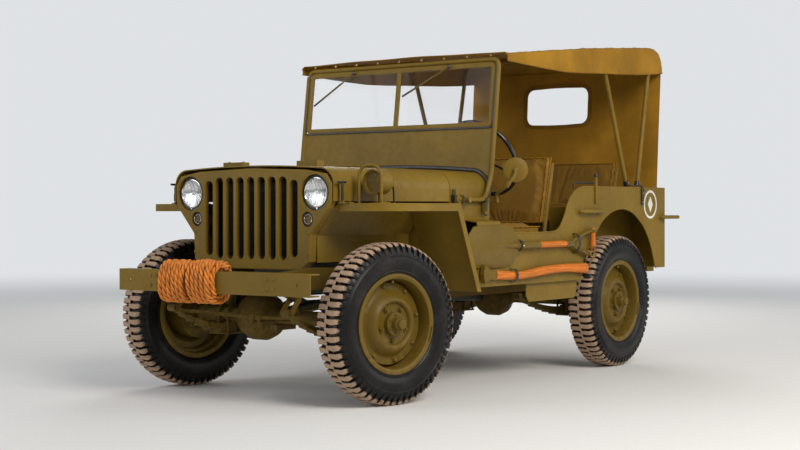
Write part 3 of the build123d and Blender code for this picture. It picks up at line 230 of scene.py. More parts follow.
def spun(form, origin, direction, angles):
    """A form turned about an axis to each of several angles, by Rodrigues' formula."""
    points, faces = form
    axis = unit(np.asarray(direction, float))
    arm = points - origin
    angles = np.asarray(angles, float)[:, None, None]
    swept = arm * np.cos(angles) + np.cross(axis, arm) * np.sin(angles)
    swept = swept + axis * (arm @ axis)[:, None] * (1 - np.cos(angles))
    starts = (np.arange(len(angles)) * len(points))[:, None, None]
    return (origin + swept).reshape(-1, 3), [
        (group + starts).reshape(-1, group.shape[1]) for group in faces
    ]


def bolt_head(place, direction, size=0.008, height=0.006):
    """A six-sided head with a domed top, standing on its washer."""
    washer = [(0, 0), (1.35 * size, 0), (1.35 * size, 0.0015), (0, 0.0015)]
    head = [(0, 0), (size, 0), (size, 0.8 * height), (0.85 * size, height), (0, 1.05 * height)]
    return together(turned(washer, place, direction, 16), turned(head, place, direction, 6))


def rivet(place, direction, size=0.007):
    """A low domed head: a quarter circle turned about its axis."""
    return turned(size * circle(1, 12)[:4] * [1, 0.5], place, direction, 10)


def lensed(radius, low, rise, steps):
    """The profile of a round face that rises to its middle: h = low + rise (1 - (r / R)^2)."""
    r = np.linspace(radius, 0, steps)
    return np.stack([r, low + rise * (1 - (r / radius) ** 2)], -1)


def make(
    name, finish, *forms, body="body", node=None, slot=None, crease=35.0, marks=None, pair=False
):
    """Forms as one piece that rides on a body, with its mirror image if it is one of a pair."""
    form = together(*forms)
    points, faces = both_sides(form) if pair else form
    mesh = bpy.data.meshes.new(name)
    every = [face for group in faces for face in group.tolist()]
    mesh.from_pydata(in_frame(points).tolist(), [], every)
    if marks is not None:
        flow = mesh.attributes.new("flow", "FLOAT2", "POINT")
        flow.data.foreach_set("vector", np.asarray(marks, np.float32).ravel())
    shell = bmesh.new()
    shell.from_mesh(mesh)
    bmesh.ops.remove_doubles(shell, verts=shell.verts, dist=1e-6)
    bmesh.ops.dissolve_degenerate(shell, edges=shell.edges, dist=1e-7)
    bmesh.ops.recalc_face_normals(shell, faces=shell.faces)
    shell.to_mesh(mesh)
    shell.free()
    mesh.materials.append(FINISHES[finish])
    mesh.shade_smooth()
    mesh.set_sharp_from_angle(angle=radians(crease))
    piece = bpy.data.objects.new(name, mesh)
    bpy.context.scene.collection.objects.link(piece)
    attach(piece, body)
    if node:
        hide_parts(node)
    return piece


class Nodes:
    """A node tree: each call adds one node and fills or links its sockets."""

    def __init__(self, owner, output="OutputMaterial"):
        self.owner = owner
        owner.use_nodes = True
        self.tree = owner.node_tree
        self.tree.nodes.clear()
        self.output = self.tree.nodes.new("ShaderNode" + output)
        self.place = self.add("TexCoord", out="Object")

    def add(self, kind, settings=(), out=0, **sockets):
        """One node. A socket's value is a number, a tuple or another node's output."""
        node = self.tree.nodes.new("ShaderNode" + kind)
        for key, value in dict(settings).items():
            setattr(node, key, value)
        for key, value in sockets.items():
            numbered = key[0] == "i" and key[1:].isdigit()
            socket = node.inputs[int(key[1:]) if numbered else key.replace("_", " ")]
            if isinstance(value, bpy.types.NodeSocket):
                self.tree.links.new(value, socket)
            else:
                socket.default_value = value
        return node.outputs[out]

    def mix(self, factor, first, second):
        """Two colours mixed."""
        return self.add("Mix", {"data_type": "RGBA"}, out=2, i0=factor, i6=first, i7=second)

    def noise(self, scale, detail=4.0, rough=0.6, where=None):
        """Fractal noise from 0 to 1."""
        where = self.place if where is None else where
        return self.add("TexNoise", Vector=where, Scale=scale, Detail=detail, Roughness=rough)

    def band(self, value, low, high, bottom=0.0, top=1.0):
        """A value carried smoothly from one range to another and held at its ends."""
        return self.add(
            "MapRange", {"interpolation_type": "SMOOTHSTEP"},
            Value=value, From_Min=low, From_Max=high, To_Min=bottom, To_Max=top,
        )

    def tone(self, value, low, high, colour, dark, light):
        """A colour that goes from dark to light as a value goes from low to high."""
        return self.mix(self.band(value, low, high), scaled(colour, dark), scaled(colour, light))

    def over(self, base, value, low, high, share, colour, factor):
        """A base with a share of a darker or lighter colour over it where a value is high."""
        return self.mix(self.band(value, low, high, 0.0, share), base, scaled(colour, factor))

    def sums(self, operation, *values):
        """Arithmetic on one or two values."""
        inputs = {f"i{number}": value for number, value in enumerate(values)}
        return self.add("Math", {"operation": operation}, **inputs)

    def part(self, value, number):
        """One part of a vector, from 0 to 2."""
        return self.add("SeparateXYZ", out=number, Vector=value)

    def flow(self, number):
        """One part of the attribute flow."""
        return self.part(self.add("Attribute", {"attribute_name": "flow"}, out="Vector"), number)

    def bump(self, height, distance, strength=1.0, under=None):
        """A normal raised by a height field, over another normal if there is one."""
        more = {} if under is None else {"Normal": under}
        return self.add("Bump", Height=height, Distance=distance, Strength=strength, **more)

    def join(self, shader):
        """Joins a shader to the output."""
        self.tree.links.new(shader, self.output.inputs["Surface"])
        return self.owner

    def finish(self, colour, rough, **sockets):
        """The material with this colour, roughness and other sockets."""
        return self.join(self.add("BsdfPrincipled", Base_Color=colour, Roughness=rough, **sockets))


def material(name):
    """The nodes of a new material."""
    return Nodes(bpy.data.materials.new(name))


def scaled(colour, factor=1.0):
    """A colour made lighter or darker, with full alpha."""
    return tuple(min(1.0, channel * factor) for channel in colour[:3]) + (1.0,)


def enamel(name, colour, dust, dusting=0.5, rough=0.46, worn=0.35, dust_top=0.6):
    """Satin enamel: mottled, orange-peeled, worn on its edges, with dust low down and on top."""
    n = material(name)
    broad, fine, peel = n.noise(2.6, 5.0), n.noise(34.0, 5.0, 0.62), n.noise(420.0, 2.0, 0.5)
    base = n.tone(broad, 0.3, 0.72, colour, 0.84, 1.14)
    base = n.over(base, fine, 0.42, 0.8, 0.35, colour, 0.7)
    surface = n.add("NewGeometry", out="Normal")
    soft_edge = n.add("Bevel", {"samples": 4}, Radius=0.004)
    facing = n.add("VectorMath", {"operation": "DOT_PRODUCT"}, out=1, i0=surface, i1=soft_edge)
    edge = n.sums("MULTIPLY", n.band(facing, 0.985, 0.9), n.band(fine, 0.42, 0.62, 0.0, worn))
    base = n.mix(edge, base, scaled(colour, 1.9))
    low_down = n.band(n.part(n.place, 2), dust_top, 0.15, 0.0, 0.8)
    on_top = n.band(n.part(surface, 2), 0.7, 1.0, 0.0, 0.3)
    dirt = n.sums("MULTIPLY", n.sums("MAXIMUM", low_down, on_top), n.band(fine, 0.35, 0.7))
    dirt = n.sums("MULTIPLY", dirt, dusting)
    dull = n.band(fine, 0.3, 0.75, rough - 0.07, rough + 0.09)
    return n.finish(
        n.mix(dirt, base, scaled(dust)), n.sums("ADD", dull, n.sums("MULTIPLY", dirt, 0.4)),
        Normal=n.bump(peel, 0.00012, 0.55, n.bump(broad, 0.004, 0.25)), Specular_IOR_Level=0.2,
    )


def rubber(name, colour, dust):
    """Black tyre rubber, with sand where the second part of the attribute flow is high."""
    n = material(name)
    grit, cloud, fine = n.noise(75.0, 6.0, 0.7), n.noise(9.0), n.noise(300.0, 3.0)
    base = n.tone(cloud, 0.35, 0.7, colour, 0.75, 1.6)
    base = n.over(base, n.sums("MULTIPLY", grit, cloud), 0.2, 0.42, 0.03, dust, 1.0)
    loose = n.sums("MULTIPLY", n.sums("SUBTRACT", grit, 0.5), 1.5)
    cover = n.band(n.sums("ADD", n.flow(1), loose), 0.3, 0.75)
    return n.finish(
        n.mix(cover, base, n.tone(fine, 0.3, 0.7, dust, 0.75, 1.2)),
        n.band(cover, 0.0, 1.0, 0.36, 0.95),
        Normal=n.bump(fine, 0.0006, 0.5, n.bump(grit, 0.0012, 0.4)), Specular_IOR_Level=0.25,
    )


def cloth(name, colour, thread=0.0011, fade=0.25, rough=0.86):
    """Plain-woven duck: two crossed rows of threads on the flow attribute, in metres."""
    n = material(name)
    waves = [n.sums("SINE", n.sums("MULTIPLY", n.flow(way), pi / thread)) for way in (0, 1)]
    weave = n.sums("MULTIPLY", *waves)
    broad, cloud, fibre = n.noise(3.2, 5.0, 0.62), n.noise(16.0), n.noise(160.0, 3.0)
    base = n.tone(broad, 0.3, 0.72, colour, 1 - fade, 1 + fade)
    base = n.over(base, cloud, 0.45, 0.8, 0.3, colour, 0.7)
    base = n.over(base, weave, -1.0, 1.0, 0.22, colour, 0.55)
    base = n.over(base, fibre, 0.4, 0.75, 0.2, colour, 1.3)
    return n.finish(
        base, rough, Normal=n.bump(weave, 0.0003, 0.4, n.bump(cloud, 0.003, 0.3)),
        Sheen_Weight=0.03, Sheen_Roughness=0.5, Specular_IOR_Level=0.15,
    )


def rope_fibre(name, colour):
    """Twisted fibres along each strand; the grooves between strands get painted shade, so the
    crowns look lighter.
    """
    n = material(name)
    run, depth = n.flow(0), n.flow(1)
    drawn = n.add("CombineXYZ", i0=n.sums("MULTIPLY", run, 0.12), i1=depth)
    fibre, cloud, hair = n.noise(90.0, 3.0, 0.6, drawn), n.noise(24.0), n.noise(700.0, 3.0)
    base = n.tone(cloud, 0.3, 0.7, colour, 0.72, 1.2)
    base = n.over(base, hair, 0.4, 0.75, 0.5, colour, 0.5)
    # Painted shade: the colour darkens where a strand's height above the rope's core is low, in the
    # grooves between strands.
    base = n.over(base, depth, 0.75, 0.15, 0.85, colour, 0.18)
    return n.finish(
        base, 0.72, Normal=n.bump(fibre, 0.0012, 0.6, n.bump(hair, 0.0005, 0.5)),
        Sheen_Weight=0.2, Sheen_Roughness=0.4,
    )


def timber(name, colour):
    """Turned ash under an orange coat: rings stretched along the handle, darker in broad patches.
    """
    n = material(name)
    stretched = n.add("Mapping", Vector=n.place, Scale=(60.0, 2.2, 60.0))
    grain = n.noise(3.0, 6.0, 0.65, stretched)
    base = n.tone(grain, 0.35, 0.68, colour, 0.62, 1.12)
    base = n.over(base, n.noise(7.0), 0.5, 0.75, 0.5, colour, 0.45)
    return n.finish(
        base, n.band(grain, 0.2, 0.8, 0.38, 0.6), Normal=n.bump(grain, 0.0006, 0.5),
        Coat_Weight=0.06, Coat_Roughness=0.35, Specular_IOR_Level=0.3,
    )


def plain_metal(name, colour, rough=0.35, metallic=1.0, grain=180.0):
    """Bare or plated metal with fine scratches and cloudy tarnish."""
    n = material(name)
    scratch = n.noise(grain, 4.0, 0.7)
    return n.finish(
        n.tone(n.noise(30.0), 0.35, 0.7, colour, 0.8, 1.1),
        n.band(scratch, 0.3, 0.75, rough - 0.08, rough + 0.12),
        Metallic=metallic, Normal=n.bump(scratch, 0.0002, 0.3),
    )


def gloss(name, colour, rough=0.2, grain=0.0001):
    """A smooth moulded or japanned surface with faint ripples and wipe marks."""
    n = material(name)
    ripple = n.noise(45.0, 3.0, 0.5)
    return n.finish(
        n.tone(ripple, 0.3, 0.75, colour, 0.85, 1.15),
        n.band(ripple, 0.3, 0.8, rough * 0.8, rough * 1.4),
        Normal=n.bump(ripple, grain, 0.5), Coat_Weight=0.3, Coat_Roughness=0.1,
    )


def clear_glass(name, tint, alpha):
    """A pane that reflects at its surface, lets most light by, and has faint dust."""
    n = material(name)
    return n.finish(
        scaled(tint), n.band(n.noise(20.0, 6.0, 0.65), 0.45, 0.75, 0.02, 0.12),
        Transmission_Weight=1.0, IOR=1.5, Alpha=alpha,
        Normal=n.bump(n.noise(5.0, 2.0, 0.5), 0.0004, 0.4),
    )


def fluted_glass(name):
    """A lamp lens: upright flutes pressed in clear glass."""
    n = material(name)
    wave = n.sums("SINE", n.sums("MULTIPLY", n.part(n.place, 0), pi / 0.011))
    return n.finish(
        (0.95, 0.97, 1.0, 1.0), 0.03, Transmission_Weight=1.0, IOR=1.45, Alpha=0.55,
        Normal=n.bump(n.sums("ABSOLUTE", wave), 0.003, 0.7),
    )


FINISHES = {}


def finishes(look):
    """Every material, made once from the colours in the panel."""
    olive, dust, duck = look.paint.colour, look.paint.dust, look.canvas.colour
    FINISHES.update(
        paint=enamel("olive_enamel", olive, dust, look.paint.dusting, look.paint.roughness),
        wheel_paint=enamel("wheel_enamel", scaled(olive, 0.7), dust, 0.3, 0.42, 0.3, 0.45),
        under_paint=enamel("chassis_enamel", scaled(olive, 0.5), dust, 0.6, 0.6, 0.2, 0.6),
        tool_paint=enamel("tool_enamel", scaled(olive, 0.72), dust, 0.15, 0.3, 0.5),
        rubber=rubber("tyre_rubber", look.tyre.colour, look.tyre.sand),
        canvas=cloth("canvas_duck", duck),
        # Painted light: the rear curtain's canvas is the top's canvas made lighter, standing in for
        # light that falls inside the top.
        curtain=cloth("curtain_duck_painted_light", scaled(duck, 1.18)),
        hem=cloth("canvas_hem", scaled(duck, 0.8)),
        seat=cloth("seat_duck", look.canvas.seat_colour, 0.0012, 0.2),
        webbing=cloth("webbing", (0.16, 0.12, 0.045), 0.002, 0.15, 0.8),
        leather=gloss("black_strap", (0.018, 0.015, 0.012), 0.5, 0.0008),
        rope=rope_fibre("rope_fibre", look.rope.colour),
        wood=timber("handle_ash", look.tools.wood),
        black=gloss("black_rim", (0.012, 0.012, 0.013), 0.22),
        iron=plain_metal("engine_iron", (0.09, 0.095, 0.075), 0.6, 0.55, 90.0),
        core=enamel("radiator_black", (0.014, 0.013, 0.009), dust, 0.3, 0.6, 0.1),
        steel=plain_metal("dull_steel", (0.42, 0.4, 0.37), 0.38),
        chrome=plain_metal("reflector", (0.85, 0.85, 0.83), 0.08, 1.0, 60.0),
        brass=plain_metal("brass", (0.55, 0.38, 0.14)),
        glass=clear_glass("pane_glass", (0.86, 0.9, 0.88), 0.035),
        lens=fluted_glass("lamp_lens"),
        bulb=gloss("bulb", (0.9, 0.88, 0.8), 0.1),
        red=gloss("red_lens", (0.35, 0.008, 0.006), 0.12),
        white=enamel("white_marking", (0.72, 0.7, 0.62), dust, 0.6, 0.6, 0.1, 0.6),
        # Black for the dial faces; on the lamps' rings it is painted shade in their recesses.
        dark=gloss("black_and_painted_shade", (0.01, 0.01, 0.009), 0.6),
    )


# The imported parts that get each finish.
CAD_FINISH = {
    "paint": "front_bumper grille lamp_housings front_fenders hood cowl tub windshield_frame "
    "steering_column seat_frames passenger_seat_frame top_bows mirror rear_fittings jerrycan",
    "tool_paint": "tool_heads",
    "wheel_paint": "wheel_front_left wheel_front_right wheel_rear_left wheel_rear_right "
    "spare_wheel",
    "under_paint": "chassis_frame cross_members knuckle_left knuckle_right bell_crank "
    "tie_rod_left tie_rod_right pitman_arm drag_link front_axle rear_axle suspension",
    "rubber": "tyre_front_left tyre_front_right tyre_rear_left tyre_rear_right spare_tyre",
    "canvas": "canvas_top",
    "seat": "seat_cushions passenger_seat_cushions",
    "glass": "windshield_glass",
    "lens": "lamp_lenses",
    "black": "steering_wheel",
    "iron": "powertrain",
    "core": "radiator",
    "rope": "bumper_rope",
    "wood": "tool_handles",
}


def panel_colour(name, text, default):
    """A colour in the panel."""
    return bpy.props.FloatVectorProperty(
        name=name, description=text, subtype="COLOR", default=default, min=0.0, max=1.0
    )


def panel_share(name, text, default, low):
    """A factor in the panel."""
    return bpy.props.FloatProperty(
        name=name, description=text, subtype="FACTOR", default=default, min=low, max=1.0
    )


def panel_length(name, text, default, low, high):
    """A length in the panel."""
    return bpy.props.FloatProperty(
        name=name, description=text, default=default, min=low, max=high, unit="LENGTH"
    )


class PaintLook(bpy.types.PropertyGroup):
    """The enamel of the body."""

    colour: panel_colour("Olive", "Colour of the body's enamel", (0.200, 0.124, 0.014))
    dust: panel_colour("Dust", "Colour of the sand and dust on it", (0.34, 0.222, 0.065))
    dusting: panel_share("Dusting", "How much dust lies on the body", 0.25, 0.0)
    roughness: panel_share("Roughness", "How dull the enamel is", 0.44, 0.1)


class TyreLook(bpy.types.PropertyGroup):
    """The tyres' rubber and tread."""

    colour: panel_colour("Rubber", "Colour of the rubber", (0.0042, 0.0039, 0.0036))
    sand: panel_colour("Sand", "Colour of the sand on the lugs", (0.42, 0.285, 0.190))
    lugs: bpy.props.IntProperty(
        name="Lugs", description="Tread bars on each half of a tyre", default=59, min=12, max=80
    )
    depth: panel_length("Lug depth", "Depth of the grooves between the bars", 0.013, 0.002, 0.03)


class CanvasLook(bpy.types.PropertyGroup):
    """The cloth of the top and the seats."""

    colour: panel_colour("Top", "Colour of the canvas top", (0.318, 0.160, 0.013))
    seat_colour: panel_colour("Seats", "Colour of the cushions' cover", (0.235, 0.124, 0.018))
    sag: panel_length("Sag", "How far the roof hangs between its supports", 0.014, 0.0, 0.05)


class RopeLook(bpy.types.PropertyGroup):
    """The rope on the bumper."""

    colour: panel_colour("Rope", "Colour of the rope's fibres", (0.82, 0.25, 0.018))
    diameter: panel_length("Diameter", "The rope's thickness", 0.027, 0.01, 0.05)


class ToolLook(bpy.types.PropertyGroup):
    """The shovel and axe."""

    wood: panel_colour("Handles", "Colour of the tool handles", (0.70, 0.185, 0.008))


class CarLook(bpy.types.PropertyGroup):
    """All settings of the car's looks."""

    paint: bpy.props.PointerProperty(type=PaintLook)
    tyre: bpy.props.PointerProperty(type=TyreLook)
    canvas: bpy.props.PointerProperty(type=CanvasLook)
    rope: bpy.props.PointerProperty(type=RopeLook)
    tools: bpy.props.PointerProperty(type=ToolLook)


# Each studio lamp: its name, where it stands, how wide it is, its power and its tint.
STUDIO = [
    ("key", (5.2, -2.6, 4.2), 3.0, 270.0, (1.0, 0.95, 0.88)),
    ("fill", (-3.6, -6.0, 3.0), 4.5, 105.0, (0.94, 0.96, 1.0)),
    ("rim", (-3.5, 5.0, 3.6), 4.0, 150.0, (1.0, 0.97, 0.93)),
    ("side", (6.0, 3.5, 2.6), 3.5, 95.0, (1.0, 0.97, 0.93)),
]


class ARMYCAR_OT_stage(bpy.types.Operator):
    """Camera, lamps, world and a plain pale floor"""

    bl_idname = "army_car.stage"
    bl_label = "Stage"

    def execute(self, context):
        scene = bpy.context.scene
        scene.view_settings.view_transform = "Standard"
        camera = bpy.data.cameras.new("camera")
        camera.lens, camera.sensor_width, camera.clip_end = 66.96, 36.0, 200.0
        scene.camera = stand = bpy.data.objects.new("camera", camera)
        stand.location = (4.546, -6.464, 0.857)
        stand.rotation_euler = (radians(90 - 0.57), radians(0.06), radians(36.25))
        scene.collection.objects.link(stand)
        for name, place, width, power, colour in STUDIO:
            lamp = bpy.data.lights.new(name, "AREA")
            lamp.shape, lamp.size, lamp.energy, lamp.color = "DISK", width, power, colour
            holder = bpy.data.objects.new(name, lamp)
            holder.location = place
            x, y, z = np.array([0.0, 0.0, 0.7]) - place
            holder.rotation_euler = (np.arctan2(np.hypot(x, y), -z), 0.0, np.arctan2(x, -y) + pi)
            scene.collection.objects.link(holder)
        self.world(scene)
        self.floor(scene)
        return {"FINISHED"}

    def world(self, scene):
        """A soft grey sky that the camera and panes see as a pale backdrop."""
        scene.world = bpy.data.worlds.new("studio")
        n = Nodes(scene.world, "OutputWorld")
        light = n.add("Background", Color=(0.9, 0.95, 1.0, 1.0), Strength=0.36)
        seen = n.add("Background", Color=BACKDROP, Strength=1.0)
        rays = [n.add("LightPath", out=f"Is {kind} Ray") for kind in ("Camera", "Transmission")]
        n.join(n.add("MixShader", i0=n.sums("MAXIMUM", *rays), i1=light, i2=seen))

    def floor(self, scene):
        """A disc whose far part fades into the backdrop's colour."""
        rows = np.array([0.0, 3.0, 6.0, 12.0, 30.0, 80.0])[:, None]
        disc = rows[..., None] * circle(1, 64)
        points, faces = skin(np.insert(disc, 2, -0.0005, axis=2), around=True)
        n = material("studio_floor")
        far = n.add("VectorMath", {"operation": "LENGTH"}, out=1, i0=n.place)
        fade = n.sums("MULTIPLY", n.band(far, 4.0, 14.0), n.add("LightPath"))
        grain = n.band(n.noise(60.0), 0.3, 0.7)
        ground = n.mix(grain, (0.80, 0.79, 0.77, 1.0), (0.84, 0.83, 0.81, 1.0))
        near = n.add("BsdfPrincipled", Base_Color=ground, Roughness=0.9)
        glow = n.add("Emission", Color=BACKDROP, Strength=1.0)
        n.join(n.add("MixShader", i0=fade, i1=near, i2=glow))
        mesh = bpy.data.meshes.new("studio_floor")
        mesh.from_pydata(points.tolist(), [], faces[0].tolist())
        mesh.materials.append(n.owner)
        disc = bpy.data.objects.new("studio_floor", mesh)
        scene.collection.objects.link(disc)


class ARMYCAR_OT_finishes(bpy.types.Operator):
    """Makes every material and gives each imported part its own"""

    bl_idname = "army_car.finishes"
    bl_label = "Finishes"

    def execute(self, context):
        finishes(context.scene.army_car)
        for finish, names in CAD_FINISH.items():
            for name in names.split():
                part = NODES[name]
                if not part.material_slots:
                    part.data.materials.append(None)
                for place in part.material_slots:
                    place.material = FINISHES[finish]
        return {"FINISHED"}


# The rope's layers: their two ends along the bumper, turns, and how far they stand off.
ROPE_LAYERS = [
    (-0.1285, -0.2895, 6, 0.0135), (-0.2895, -0.1285, 6, 0.0365), (-0.1005, 0.0335, 5, 0.0135),
    (0.0335, -0.1005, 5, 0.0365),
]
# The bumper's middle and its half depth and half height.
BUMPER_MIDDLE = -0.464
BUMPER_Z = 0.54
BUMPER_DEEP = 0.031
BUMPER_TALL = 0.049


def rope_route():
    """Turns round the bumper as a rounded box that climbs along x, layer over layer.

    A turn is a superellipse, (cos t, sin t) each to the power 0.8, so that it keeps off the
    bumper's corners. The rope crosses between its two groups over the top.
    """
    points = []
    for start, end, turns, off in ROPE_LAYERS:
        count = 16 * turns
        t = np.linspace(0, 1, count, endpoint=False)
        angle = 2 * pi * turns * t + pi / 2
        deep, tall = (np.sign(v) * np.abs(v) ** 0.8 for v in (np.cos(angle), np.sin(angle)))
        wander = 0.0025 * np.sin(3.1 * angle + 17.0 * off) + 0.0015 * np.sin(1.3 * angle)
        x = start + (end - start) * t + wander
        y = BUMPER_MIDDLE - (BUMPER_DEEP + off + 0.003) * deep
        z = BUMPER_Z + (BUMPER_TALL + off + 0.001) * tall
        points.append(np.stack([x, y, z], -1))
    top = BUMPER_Z + BUMPER_TALL + 0.0365
    tail = [
        (-0.078, -0.462, top + 0.002), (-0.036, -0.463, top + 0.004), (0.008, -0.464, top - 0.001),
        (0.046, -0.464, top - 0.012), (0.068, -0.464, BUMPER_Z + BUMPER_TALL + 0.016),
        (0.088, -0.463, BUMPER_Z + BUMPER_TALL + 0.014),
    ]
    return np.concatenate([*points, tail])


def spline_points(route):
    """Points read from the route's own smooth spline."""
    curve = bpy.data.curves.new("rope_route", "CURVE")
    curve.dimensions = "3D"
    curve.resolution_u = 6
    spline = curve.splines.new("NURBS")
    spline.points.add(len(route) - 1)
    homogeneous = np.concatenate([route, np.ones((len(route), 1))], 1)
    spline.points.foreach_set("co", homogeneous.ravel())
    spline.order_u = 3
    spline.use_endpoint_u = True
    holder = bpy.data.objects.new("rope_route", curve)
    mesh = bpy.data.meshes.new_from_object(holder)
    line = np.empty(len(mesh.vertices) * 3)
    mesh.vertices.foreach_get("co", line)
    bpy.data.objects.remove(holder)
    bpy.data.curves.remove(curve)
    bpy.data.meshes.remove(mesh)
    return line.reshape(-1, 3)


def evenly(path, step):
    """A path's points at equal distances along it, and its length."""
    lengths = np.concatenate([[0], np.cumsum(np.linalg.norm(np.diff(path, axis=0), axis=1))])
    count = int(lengths[-1] / step)
    where = np.linspace(0, lengths[-1], count)
    return np.stack([np.interp(where, lengths, path[:, i]) for i in range(3)], -1), lengths[-1]


class ARMYCAR_OT_rope(bpy.types.Operator):
    """The three-strand rope wound round the bumper"""

    bl_idname = "army_car.rope"
    bl_label = "Bumper rope"

    def execute(self, context):
        diameter = context.scene.army_car.rope.diameter
        line, length = evenly(spline_points(in_frame(rope_route())), 0.006)
        path = in_stations(line)
        side, top = frames_on(path, (1.0, 0.03, 0.02))
        run = np.arange(len(path)) * length / (len(path) - 1)
        lay = 3.2 * diameter
        strand = diameter * 0.268
        orbit = diameter / 2 - strand
        forms, marks = [], []
        around = np.arange(9) * 2 * pi / 9
        for third in range(3):
            turn = 2 * pi * (run / lay + third / 3)
            middle = path + orbit * (np.cos(turn)[:, None] * side + np.sin(turn)[:, None] * top)
            outward = unit(middle - path)
            angle = turn[:, None] + around[None, :]
            rows = middle[:, None] + strand * (
                np.cos(angle)[..., None] * side[:, None] + np.sin(angle)[..., None] * top[:, None]
            )
            # A strand's height above the rope's core: the rope's finish turns low heights into
            # painted shade in the grooves.
            height = ((rows - path[:, None]) * outward[:, None]).sum(-1) / (orbit + strand)
            rows = shut(rows)
            height = np.concatenate([height[:1], height, height[-1:]])
            along = np.concatenate([run[:1], run, run[-1:]])[:, None].repeat(9, 1)
            forms.append(skin(rows, around=True))
            marks.append(np.stack([along, height], -1).reshape(-1, 2))
        rope = make(
            "rope", "rope", *forms, node="bumper_rope", crease=80.0, marks=np.concatenate(marks),
        )
        return {"FINISHED"}


# Each wheel on the ground: its side, its axle's station, and how far it is steered at rest.
WHEELS = {
    "front_left": (1, 0.0, STEER_AT_REST), "front_right": (-1, 0.0, STEER_AT_REST),
    "rear_left": (1, WHEELBASE, 0.0), "rear_right": (-1, WHEELBASE, 0.0),
}


def wheel_place(side, station, steer):
    """A wheel's middle and the outward direction of its axle."""
    out = side * np.array([cos(steer), sin(steer), 0.0])
    return np.array([side * KINGPIN_X, station, AXLE_Z]) + out * (TRACK_HALF - KINGPIN_X), out


# Half a carcass from its bead to the crown: radius, outward distance, and sand on it.
CARCASS = [
    (0.2035, 0.0585, 0.0), (0.221, 0.0585, 0.0), (0.2245, 0.064, 0.0), (0.23, 0.0665, 0.0),
    (0.233, 0.07, 0.0), (0.236, 0.069, 0.0), (0.248, 0.0745, 0.0), (0.264, 0.0785, 0.0),
    (0.282, 0.0782, 0.0), (0.296, 0.077, 0.0), (0.2985, 0.0784, 0.0), (0.301, 0.0765, 0.0),
    (0.312, 0.0735, 0.05), (0.323, 0.069, 0.1), (0.333, 0.061, 0.2), (0.34, 0.05, 0.3),
    (0.3435, 0.025, 0.35), (0.3445, 0.0, 0.35),
]


# Along a bar of the tread: outward distance, radius of its top, half width and sand on its top.
BAR = [
    (-0.004, 0.358, 0.0095, 1.0), (0.012, 0.358, 0.0105, 1.0), (0.024, 0.3577, 0.0115, 1.0),
    (0.044, 0.357, 0.012, 1.0), (0.057, 0.354, 0.012, 0.95), (0.0648, 0.347, 0.0115, 0.7),
    (0.0705, 0.337, 0.01, 0.3), (0.0738, 0.324, 0.0085, 0.05), (0.0758, 0.312, 0.007, 0.0),
]


def tyre_form(lugs, depth):
    """A carcass turned about the axle, with bars from the middle of the tread over the shoulder.

    Each half has its own bars, half a pitch apart. A bar's section is a trapezium whose rows
    run along the carcass from the centre to low on the shoulder, where the bar fades out.
    """
    half = np.array(CARCASS)
    section = np.concatenate([half, half[-2::-1] * [1, -1, 1]])
    sides = 120
    carcass = turned(section[:, :2], MIDDLE, UP, sides)
    marks = np.stack([section[:, 2].repeat(sides)] * 2, -1)
    bar = np.array(BAR)
    out, radius, width, sand = bar.T
    sink = np.array([depth] * 7 + [0.01, 0.006]) + 0.003
    slope = unit(np.gradient(np.stack([out, radius], -1), axis=0))
    inward = np.stack([slope[:, 1], -slope[:, 0]], -1)
    skewed = 0.004 * np.sin(np.clip(out / 0.07, 0, 1) * pi)
    rows, sands = [], []
    # Across a bar: share of its half width and share of its depth.
    across = [(-1.25, 1.0), (-1.0, 0.12), (-0.86, 0.0), (0.86, 0.0), (1.0, 0.12), (1.25, 1.0)]
    for share, deep in across:
        flat = np.stack([out, radius], -1) + inward * (sink * deep)[:, None]
        rows.append(np.stack([flat[:, 1], share * width + skewed, flat[:, 0]], -1))
        sands.append(sand * (1.0 if deep == 0.0 else 0.55 if deep < 0.5 else 0.0))
    points, faces = skin(shut(np.stack(rows, 1)), around=True)
    sands = np.stack(sands, 1)
    sands = np.concatenate([sands[:1] * 0.3, sands, sands[-1:] * 0])
    pitch = 2 * pi / lugs
    angles = np.arange(lugs) * pitch
    left = spun((points, faces), MIDDLE, UP, angles)
    right = spun((points * [1, -1, -1], faces), MIDDLE, UP, angles + pitch / 2)
    bar_marks = np.stack([np.tile(sands.ravel(), lugs)] * 2, -1)
    return together(carcass, left, right), np.concatenate([marks, bar_marks, bar_marks])


def on_axle(form, centre, out=np.array(REAR, float)):
    """A form about the z axis laid onto an axle whose outward direction is given."""
    points, faces = form
    up = np.array([0.0, 0.0, 1.0])
    side = np.cross(out, up)
    return centre + points[:, :1] * up + points[:, 1:2] * side + points[:, 2:] * out, faces


class ARMYCAR_OT_tyres(bpy.types.Operator):
    """Five tyres with bar treads"""

    bl_idname = "army_car.tyres"
    bl_label = "Tyres"

    def execute(self, context):
        tyre = context.scene.army_car.tyre
        form, marks = tyre_form(tyre.lugs, tyre.depth)
        for place, row in WHEELS.items():
            centre, out = wheel_place(*row)
            make(
                f"tread_{place}", "rubber", on_axle(form, centre, out), body=f"wheel_{place}",
                node=f"tyre_{place}", crease=30.0, marks=marks,
            )
        centre = sum(box_of("spare_tyre")) / 2
        make(
            "tread_spare", "rubber", on_axle(form, centre), node="spare_tyre", crease=30.0,
            marks=0.3 * marks,
        )
        return {"FINISHED"}


def even_loop(outline, count):
    """A closed outline's points at equal distances round it."""
    closed = np.concatenate([outline, outline[:1]])
    lengths = np.concatenate([[0], np.cumsum(np.linalg.norm(np.diff(closed, axis=0), axis=1))])
    where = np.linspace(0, lengths[-1], count, endpoint=False)
    return np.stack([np.interp(where, lengths, closed[:, i]) for i in range(closed.shape[1])], -1)


